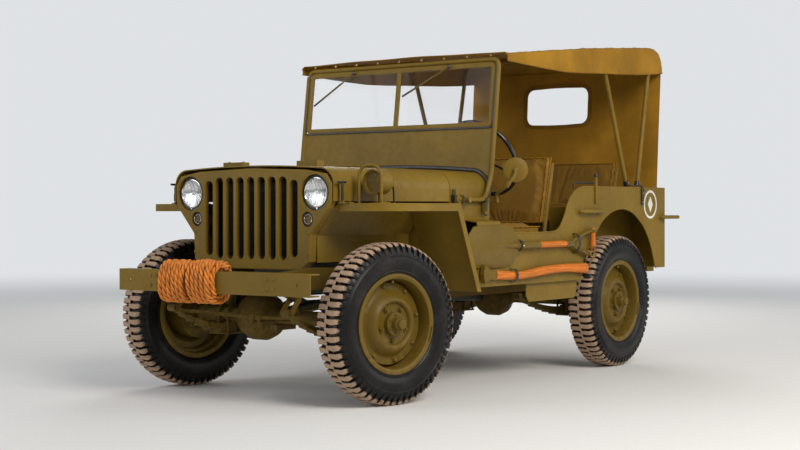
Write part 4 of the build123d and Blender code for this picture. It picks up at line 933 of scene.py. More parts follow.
# A wheel's section as radius and outward distance, from its back to the middle of its face:
# drum, inner barrel and lip, the tyre's seat, outer lip and deep well, bolt ring, dish and hub.
WHEEL_BACK = [(0, 0.02), (0.019, 0.02), (0.019, -0.056), (0.122, -0.056), (0.122, 0.034)]
WHEEL_RIM = [
    (0.1335, 0.0195), (0.149, 0.0035), (0.176, 0.003), (0.1785, -0.022), (0.183, -0.03),
    (0.194, -0.031), (0.1975, -0.036), (0.1975, -0.059), (0.199, -0.063), (0.206, -0.0662),
    (0.215, -0.0668), (0.2215, -0.063), (0.2205, -0.059), (0.2032, -0.059), (0.2032, 0.059),
    (0.2205, 0.059), (0.2215, 0.063), (0.215, 0.0668), (0.206, 0.0662), (0.1995, 0.062),
    (0.1965, 0.052), (0.195, 0.03), (0.1945, -0.01), (0.1925, -0.022), (0.188, -0.0255),
    (0.1845, -0.022), (0.183, 0.002), (0.1815, 0.0075), (0.178, 0.0092), (0.154, 0.0092),
    (0.147, 0.012), (0.137, 0.025), (0.123, 0.041), (0.1115, 0.0505), (0.104, 0.0528),
    (0.0975, 0.05), (0.0925, 0.042), (0.0895, 0.035), (0.085, 0.0325),
]
WHEEL_HUB = [
    (0.054, 0.0335), (0.0515, 0.036), (0.0515, 0.0585), (0.05, 0.06), (0.0285, 0.06),
    (0.028, 0.084), (0.022, 0.092), (0, 0.092),
]


def ring_section(radius, height, thick):
    """The section of a round bar that is bent into a ring."""
    return np.append(circle(thick, 8), [(thick, 0)], 0) + [radius, height]


def ring_bar(radius, height, thick):
    """A round bar bent into a ring about the z axis."""
    return turned(ring_section(radius, height, thick), MIDDLE, UP, 96)


class ARMYCAR_OT_wheels(bpy.types.Operator):
    """Nuts, studs, hub caps, valves and rolled edges on the wheels"""

    bl_idname = "army_car.wheels"
    bl_label = "Wheels"

    def execute(self, context):
        cap = [
            (0.029, 0.06), (0.029, 0.0848), (0.0265, 0.0885), (0.0228, 0.0928), (0.0228, 0.1),
            (0.02, 0.104), (0.013, 0.1055), (0, 0.1058),
        ]
        cap = turned(cap, MIDDLE, UP, 40)
        feet = [
            (0.2075, 0.03, 0.0625), (0.2075, 0.03, 0.0735), (0.2075, -0.03, 0.0735),
            (0.2075, -0.03, 0.0625),
        ]
        grip = spun(tube(bent(feet, 0.008), 0.0034), MIDDLE, UP, [-radians(105)])
        pressing = turned(WHEEL_BACK + WHEEL_RIM + WHEEL_HUB, MIDDLE, UP, 96)
        common = self.fastened()
        form = together(common, cap, grip)
        low, high = box_of("spare_wheel")
        spare = (low + high) / 2
        spare[1] = low[1] + 0.064
        wheels = [
            (place, *wheel_place(*row), f"wheel_{place}", f"wheel_{place}", form)
            for place, row in WHEELS.items()
        ]
        wheels.append(("spare", spare, np.array(REAR, float), "body", "spare_wheel", common))
        for place, centre, out, body, node, trim in wheels:
            disc = on_axle(pressing, centre, out)
            make(f"wheel_disc_{place}", "wheel_paint", disc, body=body, node=node)
            make(f"wheel_trim_{place}", "wheel_paint", on_axle(trim, centre, out), body=body)
        return {"FINISHED"}

    def fastened(self):
        """Nuts on the bolt ring, studs on the hub's face, flange bolts, beads and a valve."""
        ring, face = 0.0092, 0.033
        washer = turned(
            [(0, 0), (0.0135, 0), (0.0135, 0.002), (0, 0.002)], (0.1665, 0, ring), UP, 14,
        )
        dome = [(0.01, 0.001), (0.01, 0.008), (0.0085, 0.0105), (0.005, 0.013), (0, 0.014)]
        nut = together(washer, turned(dome, (0.1665, 0, ring), UP, 6))
        nuts = spun(nut, MIDDLE, UP, np.arange(8) * pi / 4 + 0.2)
        stud = [(0.0105, 0), (0.0105, 0.01), (0.0085, 0.012), (0.0055, 0.012)]
        tip = [(0.0055, 0.01), (0.0055, 0.019), (0, 0.0195)]
        place = (0.074, 0, face)
        stud = together(turned(stud, place, UP, 6), turned(tip, place, UP, 12))
        studs = spun(stud, MIDDLE, UP, np.arange(5) * 2 * pi / 5 + 0.6)
        flange = spun(
            bolt_head((0.0405, 0, 0.06), UP, 0.0052, 0.005), MIDDLE, UP, np.arange(6) * pi / 3,
        )
        beads = [ring_bar(0.2195, 0.063, 0.003), ring_bar(0.2195, -0.063, 0.003)]
        beads += [ring_bar(radius, ring - 0.0008, 0.0022) for radius in (0.179, 0.153)]
        stem = [(0.183, 0, 0.014), (0.182, 0.004, 0.036), (0.185, 0.016, 0.054)]
        tip = tube([(0.1845, 0.014, 0.051), (0.1865, 0.022, 0.0628)], 0.0055)
        valve = together(tube(bent(stem, 0.01), 0.0042), tip)
        return together(nuts, studs, flange, *beads, valve)


# The roof's side line as station and height, the rear curtain and its window.
ROOF_LINE = np.array([
    (0.922, 1.629), (1.33, 1.676), (1.75, 1.724), (2.1, 1.7555), (2.43, 1.785), (2.515, 1.785),
    (2.565, 1.768), (2.594, 1.73), (2.605, 1.69), (2.606, 1.654),
])
TOP_HALF = 0.655
# The valance's hem as station and height: it sags ahead of the bows and rises behind them.
HEM_LINE = np.array([
    (0.9, 1.592), (1.036, 1.587), (1.167, 1.583), (1.328, 1.579), (1.484, 1.577), (1.672, 1.585),
    (1.879, 1.598), (2.088, 1.609), (2.278, 1.62), (2.452, 1.634), (2.606, 1.65),
])
CURTAIN = (0.955, 1.69)
CURTAIN_STATIONS = (2.553, 2.6035)
WINDOW = (-0.25, 0.176, 1.37, 1.6)
SUPPORTS = (0.925, 1.915, 2.49)


def roof_form(sag):
    """The roof with its two valances as one sheet: rows follow its line, columns go hem to hem.

    Each row is a crowned top, a quarter circle at each side and a straight drop to the hem.
    Between two supports a fraction t apart the cloth hangs by sag sin(pi t). It puckers along
    its edges in a sum of sines and is drawn tight in faint slanting folds.
    """
    line, length = evenly(np.concatenate([ROOF_LINE, np.zeros((len(ROOF_LINE), 1))], 1), 0.015)
    station, height = line[:, 0], line[:, 1]
    step = unit(np.gradient(line[:, :2], axis=0))
    normal = np.stack([-step[:, 1], step[:, 0]], -1)
    phase = np.interp(station, SUPPORTS, (0.0, 1.0, 2.0))
    hang = np.sin(pi * (phase % 1.0)) * (station < SUPPORTS[-1]) * (station > SUPPORTS[0])
    hem = np.interp(station, *HEM_LINE.T)
    bend = np.minimum(0.015, (height - hem) / 1.3)
    share = np.linspace(-1, 1, 65)
    flat = 1 - share**2
    pucker = np.exp(-(1 - np.abs(share)) / 0.07)
    short = np.sin(41.0 * station + 1.3) + 0.7 * np.sin(97.0 * station)
    short += 0.5 * np.sin(23.0 * station)
    slant = np.sin(17.0 * station[:, None] + 9.0 * share) * np.sin(5.0 * station[:, None] + 1.0)
    off = 0.01 * flat - sag * hang[:, None] * flat**0.6 + 0.0014 * pucker * short[:, None]
    off += 0.0022 * slant * flat
    x = share * (TOP_HALF - bend[:, None])
    top = np.stack(
        [x, station[:, None] + off * normal[:, :1], height[:, None] + off * normal[:, 1:]], -1,
    )
    # The quarter circle and the drop of one side, from the top outwards.
    turn = np.linspace(pi / 2, 0, 6)[1:]
    edge_x = TOP_HALF - bend[:, None] * (1 - np.cos(turn))
    edge_z = height[:, None] - bend[:, None] * (1 - np.sin(turn))
    fall = np.linspace(0, 1, 9)[1:]
    loose = np.clip((height - hem) / 0.12, 0, 1)[:, None]
    folds = np.sin(31.0 * station) + 0.6 * np.sin(67.0 * station + 0.8)
    folds += 0.4 * np.sin(113.0 * station)
    drop_x = TOP_HALF - 0.0035 * loose * fall * (1 + folds[:, None] / 2)
    start_z = (height - bend)[:, None]
    drop_z = start_z + (hem[:, None] - start_z) * fall
    side_x = np.concatenate([edge_x, drop_x], 1)
    side_z = np.concatenate([edge_z, drop_z], 1)
    side = np.stack([side_x, station[:, None] + 0 * side_x, side_z], -1)
    rows = np.concatenate([(side * [-1, 1, 1])[:, ::-1], top, side], 1)
    across = np.linalg.norm(np.diff(rows, axis=1), axis=2).cumsum(1)
    across = np.concatenate([np.zeros((len(rows), 1)), across], 1)
    across -= across[:, -1:] / 2
    along = np.linspace(0, length, len(rows))[:, None] + 0 * across
    return rows, np.stack([across, along], -1).reshape(-1, 2)


def curtain_y(x, z):
    """The rear curtain's station: a leaning plane with upright folds that die out at its top."""
    lift = (z - CURTAIN[0]) / (CURTAIN[1] - CURTAIN[0])
    low, high = CURTAIN_STATIONS
    folds = np.sin(11.0 * x + 3.0 * z) + 0.5 * np.sin(37.0 * x + 1.0)
    return low + (high - low) * lift + 0.004 * (1 - lift**2) * folds


def curtain_form():
    """The rear curtain: rows from the window's rounded edge out to the curtain's own edge."""
    x0, x1, z0, z1 = WINDOW
    middle = np.array([(x0 + x1) / 2, (z0 + z1) / 2])
    inner = even_loop(rounded(x1 - x0, z1 - z0, 0.055, 8), 160)
    half = TOP_HALF - 0.006
    room_x = np.where(inner[:, 0] > 0, half - middle[0], half + middle[0])
    room_z = np.where(inner[:, 1] > 0, CURTAIN[1] - middle[1], middle[1] - CURTAIN[0])
    size = np.maximum(np.abs(inner), 1e-6)
    grow = np.minimum(room_x / size[:, 0], room_z / size[:, 1])
    share = np.linspace(0, 1, 40)[:, None, None]
    flat = middle + inner * (1 - share + grow[:, None] * share)
    x, z = flat[..., 0], flat[..., 1]
    rows = np.stack([x, curtain_y(x, z), z], -1)
    return rows, np.stack([x, z], -1).reshape(-1, 2), inner, middle


class ARMYCAR_OT_canvas(bpy.types.Operator):
    """The canvas top: roof with valances, rear curtain, hems, seams, window binding and snaps"""

    bl_idname = "army_car.canvas"
    bl_label = "Canvas top"

    def execute(self, context):
        rows, marks = roof_form(context.scene.army_car.canvas.sag)
        roof_skin = skin(rows)
        roof = make("canvas_roof", "canvas", roof_skin, node="canvas_top", crease=60.0, marks=marks)
        hems = [tube(rows[:, i], 0.0028, (1.0, 0.1, 0.1), 8) for i in (0, -1)]
        hems += [tube(rows[i, 8:-8], 0.0032, (0.0, 0.1, 1.0), 8) for i in (0, -1)]
        # Lengthwise seams are narrow folded strips.
        strip = [(-0.009, 0.0), (-0.008, 0.0016), (0.008, 0.0016), (0.009, 0.0)]
        middle = rows.shape[1] // 2
        seams = [
            carried(strip, rows[2:-2, middle + i] + [0, 0, 0.0008], (0.02, 0.05, 1.0))
            for i in (-17, 17)
        ]
        trim = make("canvas_hems", "hem", *hems, *seams, crease=50.0)
        rows, marks, inner, middle = curtain_form()
        curtain_skin = skin(rows, around=True)
        # The curtain's finish is the lighter copy of the canvas: painted light.
        curtain = make(
            "rear_curtain", "curtain", curtain_skin, node="canvas_top", crease=60.0, marks=marks,
        )
        edges = []
        for flat in (middle + inner, middle + inner + 0.012 * unit(inner)):
            edges.append(np.stack([flat[:, 0], curtain_y(*flat.T), flat[:, 1]], -1))
        band = [(-0.014, -0.0012), (-0.014, 0.0012), (0.014, 0.0012), (0.014, -0.0012)]
        binding = carried(band, edges[1], (0.0, 1.0, 0.05), closed=True)
        cord_edge = tube(edges[0], 0.003, (0.0, 1.0, 0.05), 8, closed=True)
        bound = together(binding, cord_edge)
        outer = make("window_binding", "hem", bound, crease=50.0)
        # Snaps hold the front edge to the windshield, and the curtain's foot to the body.
        front = [
            rivet((x, 0.9165, 1.6215), (0, -1, 0.1), 0.0065) for x in np.linspace(-0.56, 0.56, 9)
        ]
        foot = [rivet((x, 2.5575, 0.972), REAR, 0.0065) for x in np.linspace(-0.6, 0.6, 9)]
        make("canvas_snaps", "brass", *front, *foot)
        return {"FINISHED"}


# Cushions: right edge, left edge, cushion front, rear, base and back top, and the body.
SEATS = {
    "driver": (0.17, 0.6, 0.9, 1.31, 0.715, 1.13, "body"),
    "passenger": (-0.572, -0.16, 0.9, 1.31, 0.715, 1.13, "passenger_seat"),
    "rear": (-0.44, 0.44, 1.98, 2.33, 0.8, 1.13, "body"),
}


def pad_corners(seat, part):
    """Four corners of a cushion's section at each end: its first two are on one broad face."""
    x0, x1, front, rear, base, top, _ = seat
    if part == "seat":
        section = [(front, base), (rear, base), (rear, base + 0.056), (front, base + 0.056)]
    else:
        section = [
            (rear + 0.012, base + 0.08), (rear + 0.082, top - 0.004), (rear + 0.118, top - 0.004),
            (rear + 0.042, base + 0.08),
        ]
    flat = np.array(section)
    ends = [np.stack([np.full(4, x), flat[:, 0], flat[:, 1]], -1) for x in (x0, x1)]
    return np.stack(ends)


def pad_seams(corners):
    """The rims of a cushion's two broad faces, which are piped."""
    right, left = corners
    first = np.stack([right[0], right[1], left[1], left[0]])
    second = np.stack([right[3], right[2], left[2], left[3]])
    return first, second


def swollen(piece, seams, cap, rests, frames=20):
    """Swells a closed cushion under pressure while its seams hold it, and applies the result.

    A cushion that rests on its frame stays flat below.
    """
    remesh = piece.modifiers.new("remesh", "REMESH")
    remesh.mode, remesh.voxel_size = "VOXEL", 0.007
    applied(piece)
    mesh = piece.data
    start = np.empty(len(mesh.vertices) * 3)
    mesh.vertices.foreach_get("co", start)
    start = start.reshape(-1, 3)
    near = np.full(len(start), 9.0)
    for loop in seams:
        path = even_loop(loop, 400)
        for chunk in np.array_split(np.arange(len(path)), 8):
            gap = np.linalg.norm(start[:, None] - path[chunk][None], axis=2).min(1)
            near = np.minimum(near, gap)
    held = piece.vertex_groups.new(name="seam")
    held.add(np.nonzero(near < 0.0075)[0].tolist(), 1.0, "REPLACE")
    cloth_now = piece.modifiers.new("cloth", "CLOTH")
    settings = cloth_now.settings
    settings.quality, settings.mass = 5, 0.25
    settings.tension_stiffness, settings.compression_stiffness = 18.0, 18.0
    settings.shear_stiffness, settings.bending_stiffness = 6.0, 0.35
    settings.use_pressure, settings.uniform_pressure_force = True, 4.0
    settings.shrink_min = settings.shrink_max = -0.045
    settings.vertex_group_mass = "seam"
    settings.effector_weights.gravity = 0.0
    cloth_now.point_cache.frame_start, cloth_now.point_cache.frame_end = 1, frames
    scene = bpy.context.scene
    for frame in range(1, frames + 1):
        scene.frame_set(frame)
    applied(piece)
    scene.frame_set(1)
    end = np.empty(len(mesh.vertices) * 3)
    piece.data.vertices.foreach_get("co", end)
    step = end.reshape(-1, 3) - start
    far = np.linalg.norm(step, axis=1, keepdims=True)
    capped = start + step * np.minimum(1.0, cap / np.maximum(far, 1e-9))
    if rests:
        capped[:, 2] = np.maximum(capped[:, 2], start[:, 2].min())
    piece.data.vertices.foreach_set("co", capped.ravel())
    piece.vertex_groups.clear()


def applied(piece):
    """Puts the result of a piece's modifiers in its mesh."""
    bpy.context.view_layer.update()
    graph = bpy.context.evaluated_depsgraph_get()
    result = bpy.data.meshes.new_from_object(piece.evaluated_get(graph))
    piece.modifiers.clear()
    if not result.materials:
        result.materials.append(FINISHES["seat"])
    piece.data = result


class ARMYCAR_OT_cushions(bpy.types.Operator):
    """Stuffed cushions on the three seats, with piped edges"""

    bl_idname = "army_car.cushions"
    bl_label = "Cushions"

    def execute(self, context):
        for name, seat in SEATS.items():
            for part in ("seat", "back"):
                self.cushion(name, seat, part)
        return {"FINISHED"}

    def cushion(self, name, seat, part):
        """One cushion with the piping round its two rims."""
        corners = pad_corners(seat, part)
        points = corners.reshape(-1, 3)
        order = [[0, 1, 2, 3], [7, 6, 5, 4], [0, 4, 5, 1], [1, 5, 6, 2], [2, 6, 7, 3], [3, 7, 4, 0]]
        body = seat[-1]
        node = "passenger_seat_cushions" if name == "passenger" else "seat_cushions"
        shell = (points, [np.array(order)])
        pad = make(f"cushion_{name}_{part}", "seat", shell, body=body, node=node, crease=70.0)
        seams = pad_seams(corners)
        swollen(pad, [in_frame(seam) for seam in seams], 0.02, part == "seat")
        smooth = pad.modifiers.new("smooth", "SUBSURF")
        smooth.levels = smooth.render_levels = 1
        applied(pad)
        pad.data.shade_smooth()
        self.flow(pad, part)
        loops = []
        for number, seam in enumerate(seams):
            path = even_loop(np.array(seam), 220)
            run = np.linspace(0, 2 * pi, 220, endpoint=False)
            middle = path.mean(0)
            ripple = 0.0022 * np.sin(38 * run + number) + 0.0014 * np.sin(71 * run)
            path = path + unit(path - middle) * (ripple[:, None] + 0.001)
            loops.append(tube(path, 0.0042, (0.21, 0.4, 0.7), 8, closed=True))
        make(f"piping_{name}_{part}", "hem", *loops, body=body, slot="seat_canvas")

    def flow(self, pad, part):
        """Lays the weave over the cushion: x one way and depth or height the other."""
        count = len(pad.data.vertices)
        place = np.empty(count * 3)
        pad.data.vertices.foreach_get("co", place)
        place = place.reshape(-1, 3)
        flow = pad.data.attributes.new("flow", "FLOAT2", "POINT")
        up = place[:, 2] if part == "back" else place[:, 1] + 0.3 * place[:, 2]
        flow.data.foreach_set("vector", np.stack([place[:, 0], up], -1).astype(np.float32).ravel())


# The grille's front, and the lamps' places across the car and above the ground.
GRILLE_FRONT = -0.229
HEADLAMP = (0.377, 0.936)
MARKER = (0.335, 0.817)
DRIVE_LAMP = (0.6, -0.084, 0.982)
TAIL_LAMP = (0.56, 0.76)


class ARMYCAR_OT_lamps(bpy.types.Operator):
    """Reflectors, bulbs, lenses and rims of all lamps, with dark rings of painted shade in their
    recesses
    """

    bl_idname = "army_car.lamps"
    bl_label = "Lamps"

    def execute(self, context):
        bowls, bulbs, lenses, rims, plain, bright, shade = [], [], [], [], [], [], []
        for side in (-1, 1):
            place = np.array([side * HEADLAMP[0], GRILLE_FRONT, HEADLAMP[1]])
            bowls.append(turned(lensed(0.063, -0.0155, -0.01, 12), place, FRONT, 48))
            bulb = [(0.008, -0.025), (0.008, -0.018), (0.006, -0.0155), (0, -0.0145)]
            bulbs.append(turned(bulb, place, FRONT, 16))
            lens = lensed(0.0655, -0.014, 0.012, 14) * [0.96, 1]
            lenses.append(turned(lens, place, FRONT, 56))
            ring = [
                (0.062, -0.016), (0.0615, -0.011), (0.0635, -0.0085), (0.066, -0.0095),
                (0.0668, -0.0145),
            ]
            bright.append(turned(ring, place, FRONT, 64))
            # Painted shade: a dark ring from the lens's rim out to the grille's opening stands in
            # for the shade in the headlamp's recess.
            seat = [(0.066, -0.0142), (0.0725, -0.014), (0.0765, -0.0135), (0.0795, -0.018)]
            shade.append(turned(seat, place, FRONT, 64))
            bright.append(bolt_head(place + [side * 0.004, 0.014, -0.0712], FRONT, 0.003, 0.003))
            place = np.array([side * MARKER[0], GRILLE_FRONT, MARKER[1]])
            lens = lensed(0.0245, -0.007, 0.005, 10) * [0.78, 1]
            plain.append(turned(lens, place, FRONT, 32))
            ring = [
                (0.019, -0.01), (0.0192, -0.0055), (0.021, -0.004), (0.0232, -0.0055),
                (0.0236, -0.0075),
            ]
            bright.append(turned(ring, place, FRONT, 40))
            # Painted shade: a dark ring round the marker lamp's rim stands in for the shade in its
            # recess.
            seat = [(0.0232, -0.0072), (0.028, -0.0074), (0.033, -0.012)]
            shade.append(turned(seat, place, FRONT, 40))
        x, station, z = DRIVE_LAMP
        place = np.array([x, station, z])
        lenses.append(turned(lensed(0.046, 0.001, 0.006, 12), place, FRONT, 48))
        ring = [(0.045, 0.0), (0.045, 0.006), (0.0475, 0.009), (0.05, 0.009)]
        rims.append(turned(ring, place, FRONT, 56))
        make("lamp_reflectors", "chrome", *bowls)
        make("lamp_bulbs", "bulb", *bulbs, slot="glass")
        make("headlamp_lenses", "lens", *lenses, node="lamp_lenses", crease=60.0)
        make("marker_lenses", "lens", *plain, node="lamp_lenses", crease=60.0)
        make("lamp_rims", "paint", *rims, crease=40.0)
        make("lamp_rings", "chrome", *bright, crease=40.0)
        make("lamp_seats_painted_shade", "dark", *shade, crease=40.0)
        feet = [
            bolt_head((x + sx, station + 0.045, 0.893), UP, 0.005, 0.004) for sx in (-0.022, 0.022)
        ]
        make("guard_feet", "paint", *feet)
        self.tail()
        return {"FINISHED"}

    def tail(self):
        """Tail lamps: a red lens in a rim."""
        rims, lenses = [], []
        for side in (-1, 1):
            place = np.array([side * TAIL_LAMP[0], 2.585, TAIL_LAMP[1]])
            ring = [(0.026, 0.0), (0.026, 0.006), (0.03, 0.008), (0.035, 0.005), (0.035, -0.006)]
            rims.append(turned(ring, place, REAR, 40))
            lens = [(0.026, 0.003), (0.02, 0.0055), (0.01, 0.0068), (0, 0.007)]
            lenses.append(turned(lens, place, REAR, 32))
        make("tail_lamp_rims", "paint", *rims)
        make("tail_lamp_lenses", "red", *lenses)


def flowing(points, steps=8):
    """A Catmull-Rom curve: each span is a cubic through its ends, aimed along its neighbours."""
    points = np.asarray(points, float)
    line = np.concatenate([2 * points[:1] - points[1:2], points, 2 * points[-1:] - points[-2:-1]])
    a, b, c, d = (line[i : len(line) - 3 + i, None] for i in range(4))
    t = np.linspace(0, 1, steps, endpoint=False)[None, :, None]
    path = 2 * b + (c - a) * t + (2 * a - 5 * b + 4 * c - d) * t**2
    path = (path + (3 * b - a - 3 * c + d) * t**3) / 2
    return np.concatenate([path.reshape(-1, points.shape[1]), points[-1:]])


def arch_line(half, base, side, crown, shoulder, steps=12):
    """The cowl's outline as x and z: upright sides, quarter-circle shoulders, parabolic top."""
    turn = np.linspace(0, pi / 2, steps)
    level = half - shoulder
    wall = np.stack([np.full(steps, half), np.linspace(base, side - shoulder, steps)], -1)
    arc = np.stack([level + shoulder * np.cos(turn), side - shoulder + shoulder * np.sin(turn)], -1)
    across = np.linspace(level, 0, steps)[1:]
    top = np.stack([across, crown - (crown - side) * (across / level) ** 2], -1)
    right = np.concatenate([wall[:-1], arc, top])
    return np.concatenate([right, (right * [-1, 1])[-2::-1]])


# The windshield's slope, and the direction that it faces.
RAKE = 0.12842
FACING = (0, -1, 0.13)


def lean(z):
    """The station of the windshield's plane at a height."""
    return 0.85 + (z - 1.029) * RAKE


def on_pane(flat, off):
    """Points (x, z) laid on the windshield's plane, moved a little along the car."""
    return np.stack([flat[:, 0], lean(flat[:, 1]) + off, flat[:, 1]], -1)


def strap(path, width, thick=0.003, up=REAR):
    """A flat band with soft edges along a smooth line, its width along the given direction."""
    section = rounded(thick, width, 0.45 * thick, 3)
    return carried(section, flowing(path), up)


def dial(x, z, radius):
    """A round instrument that faces the rear: bezel, and ticks with a needle."""
    place = np.array([x, 0.868, z])
    bezel = [
        (radius * 0.9, 0.0005), (radius * 0.9, 0.0035), (radius * 0.97, 0.005), (radius, 0.0035),
        (radius, -0.004),
    ]
    tick = block(
        (x - 0.0007, 0.8684, z + 0.7 * radius), (x + 0.0007, 0.8689, z + 0.84 * radius), 0.0002,
    )
    ticks = spun(tick, place, REAR, np.linspace(-2.3, 2.3, 9))
    low, high = -0.15 * radius, 0.68 * radius
    needle = [(-0.0014, low), (0.0014, low), (0.0003, high), (-0.0003, high)]
    needle = slab(needle, 0.001, 0.0016, 0.0001, place, RIGHT, UP)
    face = turned([(0.92 * radius, 0.0), (0.92 * radius, 0.0006), (0, 0.0006)], place, REAR, 40)
    return turned(bezel, place, REAR, 40), face, together(ticks, spun(needle, place, REAR, [-1.2]))


class ARMYCAR_OT_windshield(bpy.types.Operator):
    """The surround, seals and panes, wiper blades, pivots, clamps and the mirror's glass"""

    bl_idname = "army_car.windshield"
    bl_label = "Windshield fittings"

    def execute(self, context):
        line = arch_line(0.594, 0.925, 1.054, 1.075, 0.098)
        seal = carried(rounded(0.021, 0.03, 0.007, 4), on_pane(line, -0.002), FACING)
        # A rubber strip lies in the groove round the sash.
        corners = [(-0.5945, 1.594), (-0.5945, 1.264), (0.5945, 1.264), (0.5945, 1.594)]
        groove = on_pane(bent(corners, 0.018), -0.0065)
        sash = carried(rounded(0.0095, 0.006, 0.002, 3), groove, FACING)
        blades, arms = [], []
        for x0, z0, x1, z1 in ((-0.284, 1.578, -0.5, 1.44), (0.32, 1.578, 0.085, 1.46)):
            start, end = np.array([x0, z0]), np.array([x1, z1])
            along = unit(end - start)
            square = np.array([along[1], -along[0]])
            spots = np.stack([start + 0.1 * along, end + 0.055 * along]) + 0.006 * square
            run = on_pane(spots, -0.0068)
            blades.append(carried(rounded(0.009, 0.007, 0.002, 3), run, FACING))
            hub = np.array([x0, lean(z0) - 0.019, z0])
            blades.append(
                turned([(0.0105, 0), (0.0105, 0.006), (0.007, 0.01), (0, 0.011)], hub, FRONT, 20)
            )
            arms.append(tube([(x0, lean(z0) - 0.018, z0), (x1, lean(z1) - 0.014, z1)], 0.0034))
            arms.append(tube([hub, hub + [0, 0.02, 0]], 0.0088, sides=20))
        handle = np.array([(0.235, 1.278), (0.262, 1.284), (0.3, 1.284), (0.322, 1.277)])
        grip = tube(flowing(on_pane(handle, 0.013)), 0.0065)
        make("windshield_seal", "leather", seal, sash, *blades, grip)
        self.surround(line, arms)
        self.pivots()
        self.mirror()
        return {"FINISHED"}

    def surround(self, line, arms):
        """The bent tube, the sheet between the cowl's arch and the sash, the sash and its panes."""
        side = [(0.612, 0.907), (0.79, 0.907), (lean(1.03), 1.03), (lean(1.601), 1.601)]
        side = np.insert(side, 0, 0.605, 1)
        route = np.concatenate([side, (side * [-1, 1, 1])[::-1]])
        frame = tube(bent(route, 0.04), 0.012, sides=20)
        foot = line[line[:, 1] > 1.012]
        ends = [(0.603, 1.01), (0.579, 1.01)]
        foot = np.concatenate([ends, foot, [(-x, z) for x, z in ends[::-1]]])
        head = np.stack([foot[:, 0], np.full(len(foot), 1.268)], -1)
        corners = [(foot, -0.004), (head, -0.004), (head, 0.004), (foot, 0.004)]
        rows = np.stack([on_pane(flat, deep) for flat, deep in corners], 1)
        sheet = skin(shut(rows), around=True)
        rail = on_pane(rounded(1.159, 0.299, 0.02, 6) + [0, 1.4265], 0)
        sash = carried(rounded(0.026, 0.014, 0.003, 3), rail, FACING, closed=True)
        post = on_pane(np.array([(0, 1.272), (0, 1.582)]), 0)
        middle = carried(rounded(0.024, 0.0135, 0.003, 3), post, FACING)
        bracket = block((0.589, 0.596, 0.893), (0.607, 0.628, 0.93), 0.002)
        nut = tube([(0.605, 0.612, 0.907), (0.641, 0.612, 0.907)], 0.014, sides=20)
        hanger = block((0.599, 0.778, 0.838), (0.615, 0.8, 0.9), 0.002)
        fixed = both_sides(together(bracket, nut, hanger))
        make(
            "windshield_surround", "paint", frame, sheet, sash, middle, fixed, *arms,
            node="windshield_frame",
        )
        outline = oblong(0.01, 0.022, 0.57, 0.306)
        pane = slab(outline, -0.0025, 0.0025, 0.0006, (0, lean(1.262), 1.262), LEFT, (0, RAKE, 1))
        make("windshield_panes", "glass", pane, node="windshield_glass", pair=True)

    def pivots(self):
        """Each lower tube's end with its ring nut and black stop, and the clamp behind it."""
        arms = tube([(0.605, 0.612, 0.907), (0.605, 0.549, 0.907)], 0.0118, sides=20)
        ring = turned(
            [(0.007, -0.006), (0.016, -0.006), (0.019, 0.0), (0.016, 0.006), (0.007, 0.006)],
            (0.612, 0.556, 0.907), LEFT, 28,
        )
        lug = block((0.589, 0.548, 0.892), (0.604, 0.572, 0.93), 0.002)
        shiny = together(arms, ring, lug, rivet((0.621, 0.556, 0.907), LEFT, 0.008))
        make("windshield_pivots", "paint", shiny, pair=True)
        stop = block((0.589, 0.524, 0.892), (0.611, 0.545, 0.929), 0.002)
        pins = [tube([(x, 0.535, 0.928), (x, 0.533, 0.956)], 0.0032) for x in (0.595, 0.606)]
        wing = [
            (-0.004, -0.02), (0.004, -0.02), (0.007, -0.006), (0.004, 0.0), (0.007, 0.006),
            (0.004, 0.02), (-0.004, 0.02), (-0.006, 0.0),
        ]
        wing = slab(wing, 0.0, 0.006, 0.0015, (0.624, 0.574, 0.907), REAR, UP)
        sleeve = tube([(0.605, 0.777, 0.907), (0.605, 0.801, 0.907)], 0.0155, sides=24)
        hanger = block((0.596, 0.78, 0.85), (0.617, 0.798, 0.897), 0.003)
        loop = turned(ring_section(0.0085, 0, 0.003), (0.612, 0.789, 0.838), (1, 0, 0.1), 24)
        black = together(stop, *pins, wing, sleeve, hanger, loop)
        make("windshield_clamps", "leather", black, pair=True)

    def mirror(self):
        """The mirror's silvered face in its rim, and the ball joint on its back."""
        place, out = np.array([0.735, 0.866, 1.052]), unit(np.array([-0.5, 0.85, 0.0]))
        glass = turned(lensed(0.053, 0.0126, 0.0008, 8), place, out, 48)
        make("mirror_glass", "chrome", glass)
        rim = [(0.053, 0.012), (0.0545, 0.014), (0.059, 0.013), (0.0615, 0.008), (0.0612, 0.0)]
        back = turned(rim, place, out, 56)
        dome = turned(
            [(0.0605, 0.0005), (0.052, 0.004), (0.034, 0.0075), (0, 0.0095)], place, -out, 56,
        )
        joint = place - 0.02 * out
        foot = np.array([0.631, 0.862, 0.905])
        bend = place + [-0.016, -0.046, -0.072]
        arm = flowing(
            [joint, joint + [0.0, -0.012, -0.03], bend, foot + [0.012, -0.02, 0.03], foot]
        )
        collar = turned(
            [(0.0085, -0.012), (0.0115, -0.01), (0.0115, 0.01), (0.0085, 0.012)], bend,
            joint - foot, 20,
        )
        ball = turned(
            [(0.0, -0.012), (0.0095, -0.0085), (0.0125, 0), (0.0095, 0.0085), (0, 0.012)], joint,
            out, 20,
        )
        clamp = tube([foot + [0.004, 0, 0], foot - [0.014, 0, 0]], 0.0125, sides=20)
        more = together(back, dome, tube(arm, 0.008), collar, ball, clamp)
        make("mirror_mount", "paint", more, node="mirror")


